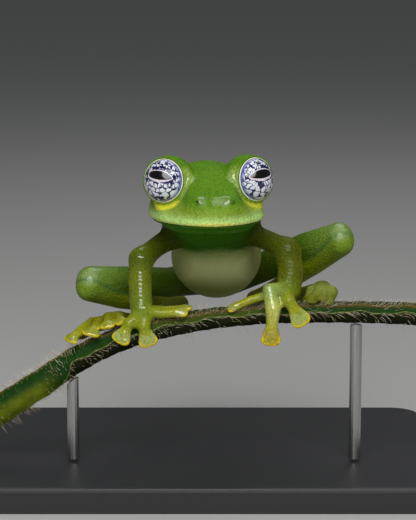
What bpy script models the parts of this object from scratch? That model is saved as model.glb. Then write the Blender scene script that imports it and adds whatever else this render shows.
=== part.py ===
"""A life-size glass frog gripping a cut length of hairy stem, on a plain display stand.

Sizes are in millimetres until a mesh is made, which is in metres.
Frog frame: +X is the frog's left, +Y its rear, +Z up. The origin is on the stem's axis line, at the
height of the middle of the picture, and PLACE moves it to the model's frame, where the base stands.
"""
import functools
import math

import bmesh
import bpy
import numpy as np
from mathutils import Matrix, Vector

MM = 0.001
GAP = 0.3                       # clearance between neighbouring parts
PLACE = np.array((0.0, -6.1, 23.0))

# Head
HEAD_PLACE = np.array((0.1, -1.5, 7.93))
HEAD_YAW = math.radians(6.5)    # nose to the frog's left
HEAD_PITCH = math.radians(6.0)  # nose down
HEAD_HALF_WIDTH = 5.5
HEAD_WIDEST = 3.6               # how far behind the eyes the jaws are widest
SNOUT_LENGTH = 9.45             # from there to the tip of the snout
NAPE_LENGTH = 4.8               # from there back into the neck
JAW_INSET = 0.2                 # how far the lower jaw stands inside the upper one, as a share
JAW_STEP = 0.45                 # the height over which it steps in
HEAD_REACH = np.array((7.5, 7.5, 6.5))
# The head seen from the side, as (y, z) pairs in the head frame
HEAD_TOP = ((-5.8, -1.3), (-5.4, -0.65), (-4.8, -0.4), (-3.5, 0.0), (-2.0, 0.45), (-0.5, 0.95),
            (1.0, 1.28), (3.0, 1.28), (5.0, 0.75), (7.0, -0.4))
MOUTH_LINE = ((-5.8, -3.15), (-3.0, -3.45), (0.0, -3.85), (3.6, -4.2))
PROFILE_STEPS = (-0.8, -0.4, 0.0, 0.4, 0.8)     # a profile is averaged over these to round its corners
THROAT = ((-5.8, -3.7), (-5.0, -4.1), (-3.0, -4.6), (0.0, -5.0), (3.0, -5.3), (7.0, -5.4))
EYE_SPREAD = 4.03               # eye centre from the head's middle plane
EYE_RADIUS = 2.24
EYE_SEAT = 0.9                  # the eye's seat, forward of its centre
EYE_RIM = 2.05
EYE_ROOT_RADIUS = 1.6
EYE_ROOT_DEPTH = 1.3
EYE_OUTWARD = math.radians(33.0)
EYE_UPWARD = math.radians(13.0)
BULGE_RADIUS = 2.64
BULGE_BACK = 0.3                # bulge centre behind the eye centre
DISH_FLARE = 0.9                # how fast the hollow round the eye widens outward
DISH_BLEND = 0.5
LID_RADIUS = 2.5
LID_THICK = 0.2
LID_SEAT = 0.78                 # the lids' ring, forward of the eye's centre
NOSTRIL = np.array((1.62, -4.95, -0.9))
NOSTRIL_SWELL = 0.5
NOSTRIL_RADIUS = 0.15
MOUTH_DEPTH = 0.42
MOUTH_GAPE = 0.13               # half the height of the groove between the lips
MOUTH_CORNER = 3.2              # how far behind the eyes the mouth ends
CORNER_FADE = 1.2
LIP_SWELL = 0.14
LIP_HEIGHT = 0.35               # the swell's middle, above the mouth line
LIP_SPREAD = 0.3

# Trunk: centre, radii, pitch in degrees
CHEST = ((0.4, 4.4, 2.7), (4.3, 3.5, 2.6), 30)
BELLY = ((0.85, 8.7, -1.2), (4.6, 5.7, 3.95), 38)
NAPE = ((0.4, 5.8, 4.0), (4.3, 4.8, 2.9), 35)
PELVIS = ((1.0, 15.3, -4.1), (2.75, 4.1, 2.1), 38)
VENT = ((1.0, 17.9, -5.9), (1.1, 1.3, 0.9), 38)
# The fore part of the chest overhangs the belly, with a fold along its lower edge
YOKE = ((0.3, 3.9, 2.5), (4.5, 3.4, 1.85), 0)
YOKE_FOLD = ((-3.1, 3.6, 1.35), (3.8, 3.6, 1.6), 0.95, 0.95)
YOKE_BLEND = 0.3
# The folds of skin in the armpits: at the chest, at the tip, and inside the arm
ARMPITS = (((-3.2, 3.3, 0.65), (-5.15, 2.7, -0.12), (-4.3, 3.2, 1.3)),
           ((4.3, 3.3, 1.0), (5.8, 2.6, 0.72), (5.1, 3.1, 1.6)))
ARMPIT_THICK = 0.5

# Limbs: chains of points with a radius at each
ARM_RIGHT = [((-2.2, 4.3, 2.2), 1.15), ((-4.0, 3.5, 1.45), 0.95), ((-6.6, 1.3, -0.35), 1.05)]
ARM_LEFT = [((2.9, 4.3, 2.4), 1.15), ((4.7, 3.5, 1.75), 0.95), ((7.85, 1.3, 0.55), 1.12)]
FOREARM_RIGHT = [((-6.6, 1.3, -0.35), 1.1), ((-6.7, 0.75, -2.4), 1.15), ((-6.6, 0.0, -4.75), 1.1)]
FOREARM_LEFT = [((7.85, 1.3, 0.55), 1.18), ((8.15, 0.7, -1.3), 1.26), ((7.95, 0.0, -3.2), 1.18)]
THIGH_RIGHT = [((-0.9, 16.0, -5.0), 1.7), ((-4.2, 13.6, -4.95), 1.55), ((-8.2, 10.6, -4.15), 1.4),
               ((-12.0, 7.8, -3.6), 1.4)]
THIGH_LEFT = [((2.9, 16.0, -4.8), 1.7), ((6.2, 13.4, -3.1), 1.55), ((10.0, 10.4, -0.6), 1.4),
              ((13.3, 7.8, 0.95), 1.36)]
SHANK_RIGHT = [((-12.1, 7.9, -4.35), 1.3), ((-9.0, 11.2, -5.9), 1.25), ((-5.6, 15.7, -7.6), 0.95),
               ((-3.1, 19.0, -8.3), 0.8)]
SHANK_LEFT = [((13.5, 7.9, 0.3), 1.28), ((10.9, 11.2, -2.3), 1.25), ((7.5, 15.7, -5.8), 0.95),
              ((5.1, 19.0, -7.8), 0.8)]
TARSUS_RIGHT = [((-3.1, 19.0, -8.35), 0.85), ((-4.8, 13.5, -8.35), 0.75), ((-6.7, 7.5, -8.0), 0.8),
                ((-8.3, 3.0, -6.9), 0.85)]
TARSUS_LEFT = [((5.1, 19.0, -7.85), 0.85), ((7.1, 13.5, -6.7), 0.75), ((9.4, 7.5, -5.2), 0.8),
               ((11.0, 3.2, -3.9), 0.85)]

# Digits: the chain of the digit, then its pad's half width, half length and the way the pad faces
FINGERS_RIGHT = [
    ([((-6.5, -0.4, -5.2), 0.62), ((-4.6, -0.9, -5.5), 0.46), ((-3.1, -1.1, -5.3), 0.44)],
     0.58, 0.68, (0.0, -0.7, 0.7)),
    ([((-6.3, 0.3, -5.1), 0.55), ((-4.3, 0.5, -5.1), 0.4), ((-2.4, 0.35, -4.85), 0.36)],
     0.46, 0.55, (0.0, -0.2, 0.98)),
    ([((-6.7, -0.6, -5.5), 0.72), ((-7.1, -1.35, -6.4), 0.55), ((-7.95, -1.65, -7.3), 0.45)],
     1.05, 0.75, (-0.1, -0.95, 0.25)),
    ([((-6.2, -0.7, -5.6), 0.75), ((-5.95, -1.45, -6.6), 0.66), ((-5.9, -1.65, -7.55), 0.5)],
     1.05, 0.75, (0.05, -0.97, 0.2))]
FINGERS_LEFT = [
    ([((7.3, -0.4, -3.1), 0.6), ((5.5, -0.8, -3.6), 0.42), ((4.0, -0.9, -4.05), 0.4),
      ((2.7, -0.9, -4.65), 0.38)], 0.45, 0.55, (-0.3, -0.6, 0.75)),
    ([((7.2, 0.3, -3.3), 0.5), ((5.4, 0.35, -4.1), 0.34), ((4.0, 0.4, -4.5), 0.3)],
     0.36, 0.45, (-0.2, -0.3, 0.9)),
    ([((7.1, -0.7, -3.0), 0.72), ((6.0, -1.35, -2.95), 0.66), ((6.1, -1.75, -4.7), 0.7),
      ((6.1, -1.8, -6.9), 0.52)], 1.0, 0.95, (0.0, -1.0, 0.05)),
    ([((7.6, -0.8, -3.4), 0.7), ((7.9, -1.5, -4.0), 0.6), ((8.6, -1.8, -5.1), 0.46)],
     1.05, 0.95, (0.1, -0.97, 0.2))]
TOES_RIGHT = [
    ([((-8.6, 2.4, -6.6), 0.68), ((-8.9, 0.9, -6.1), 0.52), ((-8.6, -0.3, -6.2), 0.45)],
     0.6, 0.5, (0.0, -0.9, 0.4)),
    ([((-8.9, 2.4, -6.5), 0.65), ((-9.9, 0.7, -6.0), 0.48), ((-9.9, -0.75, -6.45), 0.38)],
     0.78, 0.5, (-0.1, -0.9, 0.35)),
    ([((-9.2, 2.3, -6.6), 0.65), ((-10.9, 0.6, -6.5), 0.48), ((-11.35, -0.9, -7.1), 0.38)],
     0.95, 0.55, (-0.15, -0.92, 0.3)),
    ([((-9.4, 2.3, -6.8), 0.65), ((-11.5, 1.2, -6.6), 0.45), ((-12.6, 0.0, -7.2), 0.4),
      ((-13.2, -0.75, -7.7), 0.38)], 0.8, 0.55, (-0.35, -0.8, 0.4)),
    ([((-9.0, 2.5, -6.9), 0.55), ((-11.0, 2.3, -7.4), 0.42), ((-12.4, 2.1, -8.1), 0.36)],
     0.6, 0.5, (-0.4, 0.3, 0.8))]
TOES_LEFT = [
    ([((11.0, 2.8, -3.6), 0.62), ((10.2, 2.1, -3.6), 0.45), ((9.9, 1.6, -4.3), 0.36)],
     0.5, 0.45, (-0.2, -0.6, 0.9)),
    ([((11.2, 2.6, -3.4), 0.65), ((11.1, 0.9, -3.2), 0.5), ((10.4, -0.3, -3.8), 0.4)],
     0.6, 0.55, (-0.3, -0.8, 0.5)),
    ([((11.4, 2.6, -3.3), 0.7), ((12.0, 0.9, -3.15), 0.55), ((11.8, -0.3, -3.9), 0.42)],
     0.66, 0.55, (-0.2, -0.9, 0.4)),
    ([((11.5, 2.8, -3.5), 0.65), ((12.1, 2.0, -3.9), 0.48), ((12.1, 1.6, -5.0), 0.38)],
     0.6, 0.5, (0.1, 0.9, 0.1)),
    ([((11.2, 3.0, -3.9), 0.55), ((11.2, 2.4, -4.8), 0.42), ((11.0, 1.8, -5.8), 0.36)],
     0.55, 0.5, (0.0, 0.9, 0.0))]
PAD_HALF_THICK = 0.36
PAD_POWER = 3.2                 # how square the end of a pad is
WEB_THICK = 0.5
FINGER_WEB = (2, 3)             # the outer two fingers of each hand are webbed
TOE_WEBS = ((0, 1), (1, 2), (2, 3), (3, 4))

# Where the body is parted, by thin plates and discs
NECK_CUT = ((0.35, 3.7, 5.7), (0.0, 0.676, -0.737))
NECK_PLATE = (6.9, 6.2)         # half sizes
SHOULDER_DISC = 1.7
SHOULDER_CUT = 1.0              # out along the upper arm
ELBOW_DISC = 1.75
WRIST_DISC = 1.7
WRIST_CUT = 0.95                # above the forearm's end
HIP_DISC = 2.1
HIP_CUT = 3.1                   # out along the thigh
KNEE_PLATE = (2.4, 11.0, 2.6)   # reach past the joint, reach into the fold, half width
ANKLE_PLATE = (1.5, 6.8, 1.5)

# Stem
STEM_ROUTE = [(-21.4, -15.7), (-17.6, -13.3), (-14.6, -11.25), (-12.1, -9.7), (-9.6, -8.5), (-6.6, -7.45),
              (-3.2, -6.65), (0.2, -6.05), (3.7, -5.7), (7.2, -5.5), (11.0, -5.4), (16.0, -5.4), (21.3, -5.6)]
STEM_RADII = [(-21.4, 1.4), (-12.0, 1.25), (-4.0, 1.08), (6.0, 0.98), (21.3, 1.12)]
STEM_SIDES = 14
STEM_STEP = 1.05
CHANNEL_DEPTH = 0.26            # share of the radius
CHANNEL_WIDTH = math.radians(26)

# Stand
BASE_LENGTH = 46.0
BASE_DEPTH = 32.0
BASE_HEIGHT = 2.5
BASE_CORNER = 3.0
BASE_BEVEL = 0.4
ROD_RADIUS = 0.6
ROD_PLACES = {"stand_rod_right": -13.4, "stand_rod_left": 14.6}


def srgb(red, green, blue):
    """A linear colour from 0 to 255 screen values."""
    return [((value / 255 + 0.055) / 1.055) ** 2.4 for value in (red, green, blue)]


# Finishes
COLOURS = {"head": srgb(110, 150, 45), "torso": srgb(120, 135, 75), "upper_arm": srgb(80, 96, 20),
           "forearm": srgb(115, 118, 45), "hand": srgb(150, 145, 50), "thigh": srgb(90, 115, 35),
           "shank": srgb(85, 100, 20), "foot": srgb(120, 120, 30)}
EYE_COLOUR = srgb(165, 170, 190)
STEM_COLOUR = srgb(55, 78, 14)
STAND_COLOUR = srgb(46, 46, 48)
ROD_COLOUR = srgb(190, 190, 188)
SKIN_ROUGHNESS = 0.35
EYE_ROUGHNESS = 0.05
STEM_ROUGHNESS = 0.6
STAND_ROUGHNESS = 0.45
ROD_ROUGHNESS = 0.3

# Modelling
VOXEL = 0.15
FAR = 9.0                       # the distance that stands for empty space
SEPARATE_ROUNDS = 12
BODY_TRIANGLES = 11500
TRUNK_BLEND = 1.6
HEAD_BLEND = 1.9
LIMB_BLEND = 0.7
BULGE_BLEND = 0.6
DIGIT_BLEND = 0.35
LID_BLEND = 0.3
SCRAP_FACES = 40                # a piece this small is a crumb of a cut
EYE_SIDES = 28
EYE_RINGS = 7
ROD_SIDES = 16
DISC_SIDES = 24
SHARP_ANGLE = math.radians(50)


def unit(vector):
    """The vector at length one."""
    vector = np.asarray(vector, float)
    return vector / np.linalg.norm(vector)


def smoothstep(value, low, high):
    """0 at low to 1 at high, easing at both ends."""
    share = np.clip((value - low) / (high - low), 0.0, 1.0)
    return share * share * (3.0 - 2.0 * share)


def smooth_min(a, b, blend):
    """The union of two solids with a rounded joint."""
    share = np.clip(0.5 + 0.5 * (b - a) / blend, 0.0, 1.0)
    return b + (a - b) * share - blend * share * (1.0 - share)


def as_distance(level):
    """Rough distance to the surface where a level is one."""
    steep = np.sqrt(sum(part ** 2 for part in np.gradient(level, VOXEL)))
    return np.clip((level - 1.0) / np.maximum(steep, 0.08), -FAR, FAR)


def ellipsoid(centre, radii, axes):
    """Distance to an ellipsoid whose own axes are the rows of axes."""
    centre = np.asarray(centre, float)
    radii = np.asarray(radii, float)

    def distance(x, y, z):
        local = [axis[0] * (x - centre[0]) + axis[1] * (y - centre[1]) + axis[2] * (z - centre[2])
                 for axis in axes]
        near = np.sqrt(sum((part / radius) ** 2 for part, radius in zip(local, radii)))
        slope = np.sqrt(sum((part / radius ** 2) ** 2 for part, radius in zip(local, radii)))
        return near * (near - 1.0) / np.maximum(slope, 1e-6)

    reach = radii.max()
    return centre - reach, centre + reach, distance


def ball(centre, radius):
    """Distance to a ball."""
    return round_cone(centre, centre, radius, radius)


def round_cone(start, end, start_radius, end_radius):
    """Distance to a ball swept along a line while its radius changes."""
    start = np.asarray(start, float)
    line = np.asarray(end, float) - start
    length = max(line @ line, 1e-9)

    def distance(x, y, z):
        px, py, pz = x - start[0], y - start[1], z - start[2]
        along = np.clip((px * line[0] + py * line[1] + pz * line[2]) / length, 0.0, 1.0)
        away = np.sqrt((px - along * line[0]) ** 2 + (py - along * line[1]) ** 2
                       + (pz - along * line[2]) ** 2)
        return away - (start_radius + (end_radius - start_radius) * along)

    reach = max(start_radius, end_radius)
    low = np.minimum(start, end) - reach
    high = np.maximum(start, end) + reach
    return low, high, distance


def swept(chain):
    """Distance to a limb or digit swept through its points."""
    pieces = [round_cone(start, end, start_radius, end_radius)
              for (start, start_radius), (end, end_radius) in zip(chain, chain[1:])]

    def distance(x, y, z):
        return functools.reduce(np.minimum, [piece[2](x, y, z) for piece in pieces])

    return (np.min([piece[0] for piece in pieces], axis=0), np.max([piece[1] for piece in pieces], axis=0),
            distance)


def pad(centre, half_width, half_length, axes):
    """Distance to the flat, square-ended pad of a digit."""
    centre = np.asarray(centre, float)

    def distance(x, y, z):
        across, along, through = [
            np.abs(axis[0] * (x - centre[0]) + axis[1] * (y - centre[1]) + axis[2] * (z - centre[2]))
            for axis in axes]
        plan = (across / half_width) ** PAD_POWER + (along / half_length) ** PAD_POWER
        return as_distance((plan ** (2.0 / PAD_POWER) + (through / PAD_HALF_THICK) ** 2) ** 0.5)

    reach = max(half_width, half_length)
    return centre - reach, centre + reach, distance


def web(corners, thickness):
    """Distance to a flat triangle of skin with rounded edges."""
    a, b, c = (np.asarray(corner, float) for corner in corners)
    normal = unit(np.cross(b - a, c - a))
    edges = ((a, b), (b, c), (c, a))

    def distance(x, y, z):
        inside = True
        nearest = None
        for start, end in edges:
            line = end - start
            px, py, pz = x - start[0], y - start[1], z - start[2]
            inward = np.cross(normal, line)
            inside = inside & (px * inward[0] + py * inward[1] + pz * inward[2] > 0)
            along = np.clip((px * line[0] + py * line[1] + pz * line[2]) / (line @ line), 0.0, 1.0)
            away = ((px - along * line[0]) ** 2 + (py - along * line[1]) ** 2
                    + (pz - along * line[2]) ** 2)
            nearest = away if nearest is None else np.minimum(nearest, away)
        flat = (x - a[0]) * normal[0] + (y - a[1]) * normal[1] + (z - a[2]) * normal[2]
        return np.where(inside, np.abs(flat), np.sqrt(nearest)) - thickness / 2

    points = np.array((a, b, c))
    return points.min(axis=0) - thickness, points.max(axis=0) + thickness, distance


def dish(point, normal, radius, height, flare):
    """Distance to a bowl of some height that opens outward from a disc on a plane at point."""
    point = np.asarray(point, float)
    normal = unit(normal)

    def distance(x, y, z):
        px, py, pz = x - point[0], y - point[1], z - point[2]
        up = px * normal[0] + py * normal[1] + pz * normal[2]
        across = np.sqrt(np.maximum(px ** 2 + py ** 2 + pz ** 2 - up ** 2, 0.0))
        wall = (across - radius - flare * up) / math.hypot(1.0, flare)
        return np.maximum(np.maximum(-up, up - height), wall)

    reach = radius + (1.0 + flare) * height
    return point - reach, point + reach, distance


def ring(centre, normal, radius, thickness):
    """Distance to a ring of round section."""
    centre = np.asarray(centre, float)
    normal = unit(normal)

    def distance(x, y, z):
        px, py, pz = x - centre[0], y - centre[1], z - centre[2]
        up = px * normal[0] + py * normal[1] + pz * normal[2]
        across = np.sqrt(np.maximum(px ** 2 + py ** 2 + pz ** 2 - up ** 2, 0.0))
        return np.sqrt((across - radius) ** 2 + up ** 2) - thickness

    reach = radius + thickness
    return centre - reach, centre + reach, distance


def is_torn(corners, code):
    """Whether a cell's inside or outside corners hang together only across a diagonal."""
    signs = {corner: bool(code >> bit & 1) for bit, corner in enumerate(corners)}
    for value in (True, False):
        group = [corner for corner in corners if signs[corner] == value]
        if not group:
            return False
        reached = group[:1]
        for corner in reached:
            for other in group:
                if other not in reached and sum(a != b for a, b in zip(corner, other)) == 1:
                    reached.append(other)
        if len(reached) < len(group):
            return True
    for axis in range(3):
        for level in (0, 1):
            face = [corner for corner in corners if corner[axis] == level]
            if signs[face[0]] == signs[face[3]] != signs[face[1]] == signs[face[2]]:
                return True
    return False


class Clay:
    """A solid held as signed distances on a grid, negative inside."""

    def __init__(self, low, high, step):
        self.low = np.asarray(low, float)
        self.step = step
        self.count = np.ceil((np.asarray(high) - self.low) / step).astype(int) + 1
        self.field = np.full(self.count, FAR, np.float32)

    def window(self, low, high, margin):
        """The slices of a box of the grid and the coordinates in it."""
        first = np.clip(np.floor((low - margin - self.low) / self.step).astype(int), 0, self.count - 1)
        last = np.clip(np.ceil((high + margin - self.low) / self.step).astype(int) + 1, 1, self.count)
        slices = tuple(slice(a, b) for a, b in zip(first, last))
        lines = [(self.low[i] + self.step * np.arange(first[i], last[i])).astype(np.float32)
                 for i in range(3)]
        return slices, (lines[0][:, None, None], lines[1][None, :, None], lines[2][None, None, :])

    def add(self, form, blend):
        """Join a form, rounding the joint by blend."""
        low, high, distance = form
        slices, grid = self.window(low, high, blend + 2 * self.step)
        self.field[slices] = smooth_min(self.field[slices], distance(*grid), blend)

    def carve(self, form, clearance=0.0, blend=1e-6):
        """Take a form away, with a clearance round it, rounding the edge by blend."""
        low, high, distance = form
        slices, grid = self.window(low, high, clearance + blend + 2 * self.step)
        self.field[slices] = -smooth_min(-self.field[slices], distance(*grid) - clearance, blend)

    def separate(self):
        """Fill the weakest empty corner of each cell that holds two pieces of surface."""
        corners = [(i, j, k) for i in (0, 1) for j in (0, 1) for k in (0, 1)]
        torn = np.array([is_torn(corners, code) for code in range(256)])
        for _ in range(SEPARATE_ROUNDS):
            code = np.zeros([n - 1 for n in self.field.shape], np.int16)
            for bit, corner in enumerate(corners):
                view = tuple(slice(a, n - 1 + a) for a, n in zip(corner, self.field.shape))
                code += (self.field[view] < 0).astype(np.int16) << bit
            cells = np.argwhere(torn[code])
            if not len(cells):
                return
            for cell in cells:
                places = [tuple(cell + corner) for corner in corners]
                empty = [place for place in places if self.field[place] >= 0]
                if empty:
                    self.field[min(empty, key=lambda place: self.field[place])] = -self.step / 10

    def surface(self):
        """Points and quads of the zero surface: one point in each cell that it crosses."""
        self.separate()
        field = self.field
        cells = tuple(n - 1 for n in field.shape)
        total = np.zeros(cells + (3,), np.float32)
        crossings = np.zeros(cells, np.int16)
        for axis in range(3):
            low_end = [slice(None)] * 3
            high_end = [slice(None)] * 3
            low_end[axis] = slice(0, -1)
            high_end[axis] = slice(1, None)
            a, b = field[tuple(low_end)], field[tuple(high_end)]
            crossed = (a < 0) != (b < 0)
            share = np.where(crossed, a / np.where(crossed, a - b, 1.0), 0.0)
            others = [i for i in range(3) if i != axis]
            for first in (0, 1):
                for second in (0, 1):
                    view = [slice(None)] * 3
                    view[others[0]] = slice(first, first + cells[others[0]])
                    view[others[1]] = slice(second, second + cells[others[1]])
                    hit = crossed[tuple(view)]
                    crossings += hit
                    total[..., axis] += share[tuple(view)]
                    total[..., others[0]] += hit * first
                    total[..., others[1]] += hit * second
        used = crossings > 0
        index = np.full(cells, -1, np.int32)
        index[used] = np.arange(used.sum())
        corner = np.argwhere(used)
        points = self.low + self.step * (corner + total[used] / crossings[used][:, None])
        quads = []
        for axis in range(3):
            others = [(axis + 1) % 3, (axis + 2) % 3]
            inner = [slice(1, -1)] * 3
            inner[axis] = slice(0, -1)
            above = list(inner)
            above[axis] = slice(1, None)
            inside, outside = field[tuple(inner)] < 0, field[tuple(above)] < 0
            place = np.argwhere(inside != outside)
            forward = inside[inside != outside]
            place[:, others[0]] += 1
            place[:, others[1]] += 1
            step_a, step_b = np.zeros(3, int), np.zeros(3, int)
            step_a[others[0]], step_b[others[1]] = 1, 1
            around = [place - step_a - step_b, place - step_b, place, place - step_a]
            face = np.stack([index[tuple(cell.T)] for cell in around], axis=1)
            face[~forward] = face[~forward][:, ::-1]
            quads.append(face)
        return points, np.concatenate(quads)


def pitched(pitch):
    """Axes of a form whose rear end is turned down by pitch degrees."""
    angle = math.radians(pitch)
    return ((1.0, 0.0, 0.0), (0.0, math.cos(angle), -math.sin(angle)),
            (0.0, math.sin(angle), math.cos(angle)))


def head_axes():
    """The head's own left, back and up axes, in the frog's frame."""
    turn = Matrix.Rotation(HEAD_YAW, 3, "Z") @ Matrix.Rotation(HEAD_PITCH, 3, "X")
    return np.array(turn).T


def head_point(x, y, z):
    """A point of the head's frame, whose origin is midway between the eyes."""
    return HEAD_PLACE + np.array((x, y, z)) @ head_axes()


def eye_axis(side):
    """The way an eye looks, in the frog's frame."""
    outward, upward = math.sin(EYE_OUTWARD), math.sin(EYE_UPWARD)
    flat = math.cos(EYE_UPWARD)
    return np.array((side * outward * flat, -math.cos(EYE_OUTWARD) * flat, upward)) @ head_axes()


def nostril_point(side, outward, back, up):
    """A point beside a nostril, in the frog's frame."""
    x, y, z = NOSTRIL + (outward, back, up)
    return head_point(side * x, y, z)


def profile_at(y, profile):
    """Height of a side profile at places along the head."""
    return sum(np.interp(y + step, *zip(*profile)) for step in PROFILE_STEPS) / len(PROFILE_STEPS)


def head_local(x, y, z):
    """Grid coordinates in the head's frame."""
    dx, dy, dz = x - HEAD_PLACE[0], y - HEAD_PLACE[1], z - HEAD_PLACE[2]
    return [dx * axis[0] + dy * axis[1] + dz * axis[2] for axis in head_axes()]


def head_form():
    """Distance to the skull and jaws: sections across the head, widest at the mouth line.

    The powers set how fast the head narrows ahead and behind, and how round its sections are.
    """
    def distance(x, y, z):
        hx, hy, hz = head_local(x, y, z)
        ahead = np.clip((HEAD_WIDEST - hy) / SNOUT_LENGTH, 0.0, 1.3)
        behind = np.clip((hy - HEAD_WIDEST) / NAPE_LENGTH, 0.0, 1.3)
        outline = ahead ** 2.9 + behind ** 2.2
        middle = profile_at(hy, MOUTH_LINE)
        rise = np.where(hz > middle, profile_at(hy, HEAD_TOP) - middle, middle - profile_at(hy, THROAT))
        power = np.where(hz > middle, 2.0, 2.6)
        outline = outline + JAW_INSET * smoothstep(middle - hz, 0.0, JAW_STEP) * smoothstep(hy, 5.5, 1.5)
        height = (np.abs(hz - middle) / np.maximum(rise, 0.3)) ** power
        plan = outline + (hx / HEAD_HALF_WIDTH) ** 2
        blunt = 1.0 + 4.0 * ahead ** 3
        return as_distance((plan ** blunt + height ** blunt) ** (0.5 / blunt))

    return HEAD_PLACE - HEAD_REACH, HEAD_PLACE + HEAD_REACH, distance


def shape_mouth(clay):
    """Swell the upper lip and carve the line between the lips."""
    slices, grid = clay.window(HEAD_PLACE - HEAD_REACH, HEAD_PLACE + HEAD_REACH, 0.0)
    forward, up = head_local(*grid)[1:]
    above = up - profile_at(forward, MOUTH_LINE)
    front = np.clip((MOUTH_CORNER - forward) / CORNER_FADE, 0.0, 1.0)
    field = clay.field[slices] - LIP_SWELL * front * np.exp(-((above - LIP_HEIGHT) / LIP_SPREAD) ** 2)
    groove = np.maximum(np.abs(above) - MOUTH_GAPE * front, -(field + MOUTH_DEPTH))
    clay.field[slices] = np.maximum(field, -np.where(front > 0, groove, FAR))


def pad_axes(chain, facing):
    """A digit pad's axes: across, along and through it."""
    along = unit(np.subtract(chain[-1][0], chain[-2][0]))
    across = unit(np.cross(along, facing))
    return across, along, np.cross(across, along)


def add_digits(clay, digits, webs):
    """Fingers or toes with their pads, and the webs between them."""
    for chain, half_width, half_length, facing in digits:
        clay.add(swept(chain), DIGIT_BLEND)
        axes = pad_axes(chain, facing)
        centre = np.asarray(chain[-1][0]) + axes[1] * half_length * 0.6
        clay.add(pad(centre, half_width, half_length, axes), DIGIT_BLEND)
    for first, second in webs:
        a, b = digits[first][0], digits[second][0]
        clay.add(web((a[0][0], a[-2][0], b[-2][0]), WEB_THICK), DIGIT_BLEND)


def stem_radius(x):
    """The stem's radius at a place along it."""
    return np.interp(x, *zip(*STEM_RADII))


def stem_line():
    """Points along the stem, on a smooth curve through its route."""
    route = np.array(STEM_ROUTE)
    knots = np.concatenate((route[:1] * 2 - route[1:2], route, route[-1:] * 2 - route[-2:-1]))
    points = []
    for i in range(1, len(knots) - 2):
        p0, p1, p2, p3 = knots[i - 1:i + 3]
        pieces = max(1, round(np.linalg.norm(p2 - p1) / STEM_STEP))
        for t in np.arange(pieces) / pieces:
            point = 0.5 * (2 * p1 + (p2 - p0) * t + (2 * p0 - 5 * p1 + 4 * p2 - p3) * t ** 2
                           + (3 * p1 - p0 - 3 * p2 + p3) * t ** 3)
            points.append((point[0], 0.0, point[1]))
    points.append((route[-1][0], 0.0, route[-1][1]))
    return np.array(points)


def material(name, colour, roughness, metallic=0.0):
    """A plain finish for one part."""
    mat = bpy.data.materials.new(name)
    mat.use_nodes = True
    shader = mat.node_tree.nodes["Principled BSDF"]
    shader.inputs["Base Color"].default_value = (*colour, 1.0)
    shader.inputs["Roughness"].default_value = roughness
    shader.inputs["Metallic"].default_value = metallic
    return mat


def new_object(name, points, faces, finish=None):
    """An object from points and faces in the model's frame, in metres."""
    mesh = bpy.data.meshes.new(name)
    mesh.from_pydata([tuple(point) for point in points], [], [list(face) for face in faces])
    obj = bpy.data.objects.new(name, mesh)
    bpy.context.collection.objects.link(obj)
    if finish:
        mesh.materials.append(finish)
        mesh.shade_smooth()
        mesh.set_sharp_from_angle(angle=SHARP_ANGLE)
    return obj


def in_model(points):
    """Points of the frog's frame, moved to the model's frame, in metres."""
    return (np.asarray(points, float) + PLACE) * MM


def apply_modifiers(obj):
    """Replace an object's mesh by the mesh its modifiers make."""
    bpy.context.view_layer.update()
    evaluated = obj.evaluated_get(bpy.context.evaluated_depsgraph_get())
    mesh = bpy.data.meshes.new_from_object(evaluated)
    obj.modifiers.clear()
    obj.data = mesh


def cut_disc(name, centre, normal, radius):
    """A thin disc that parts two neighbours."""
    bm = bmesh.new()
    bmesh.ops.create_cone(bm, cap_ends=True, segments=DISC_SIDES, radius1=radius, radius2=radius,
                          depth=GAP)
    turn = Vector(normal).to_track_quat("Z", "Y").to_matrix().to_4x4()
    bm.transform(Matrix.Translation(centre) @ turn)
    return cutter_object(name, bm)


def cut_plate(name, centre, normal, along, half_along, half_across):
    """A thin plate that parts two neighbours over a longer stretch."""
    normal = Vector(normal).normalized()
    across = normal.cross(Vector(along)).normalized()
    axes = Matrix((across.cross(normal), across, normal)).transposed().to_4x4()
    size = Matrix.Diagonal((2 * half_along, 2 * half_across, GAP, 1.0))
    bm = bmesh.new()
    bmesh.ops.create_cube(bm, size=1.0)
    bm.transform(Matrix.Translation(centre) @ axes @ size)
    return cutter_object(name, bm)


def cutter_object(name, bm):
    """A guide that only cuts, moved from the frog's frame to the model's."""
    bm.transform(Matrix.Scale(MM, 4) @ Matrix.Translation(PLACE))
    mesh = bpy.data.meshes.new(name)
    bm.to_mesh(mesh)
    bm.free()
    obj = bpy.data.objects.new(name, mesh)
    obj.hide_render = True
    obj.display_type = "WIRE"
    bpy.context.collection.objects.link(obj)
    return obj


def fold_plate(name, corner, first_end, second_end, out, length, half_across):
    """A plate in the fold between two limb parts that meet at corner."""
    first = unit(np.subtract(first_end, corner))
    second = unit(np.subtract(second_end, corner))
    middle = unit(first + second)
    centre = np.asarray(corner) + middle * (length - out) / 2
    return cut_plate(name, centre, first - second, middle, (length + out) / 2, half_across)


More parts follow.
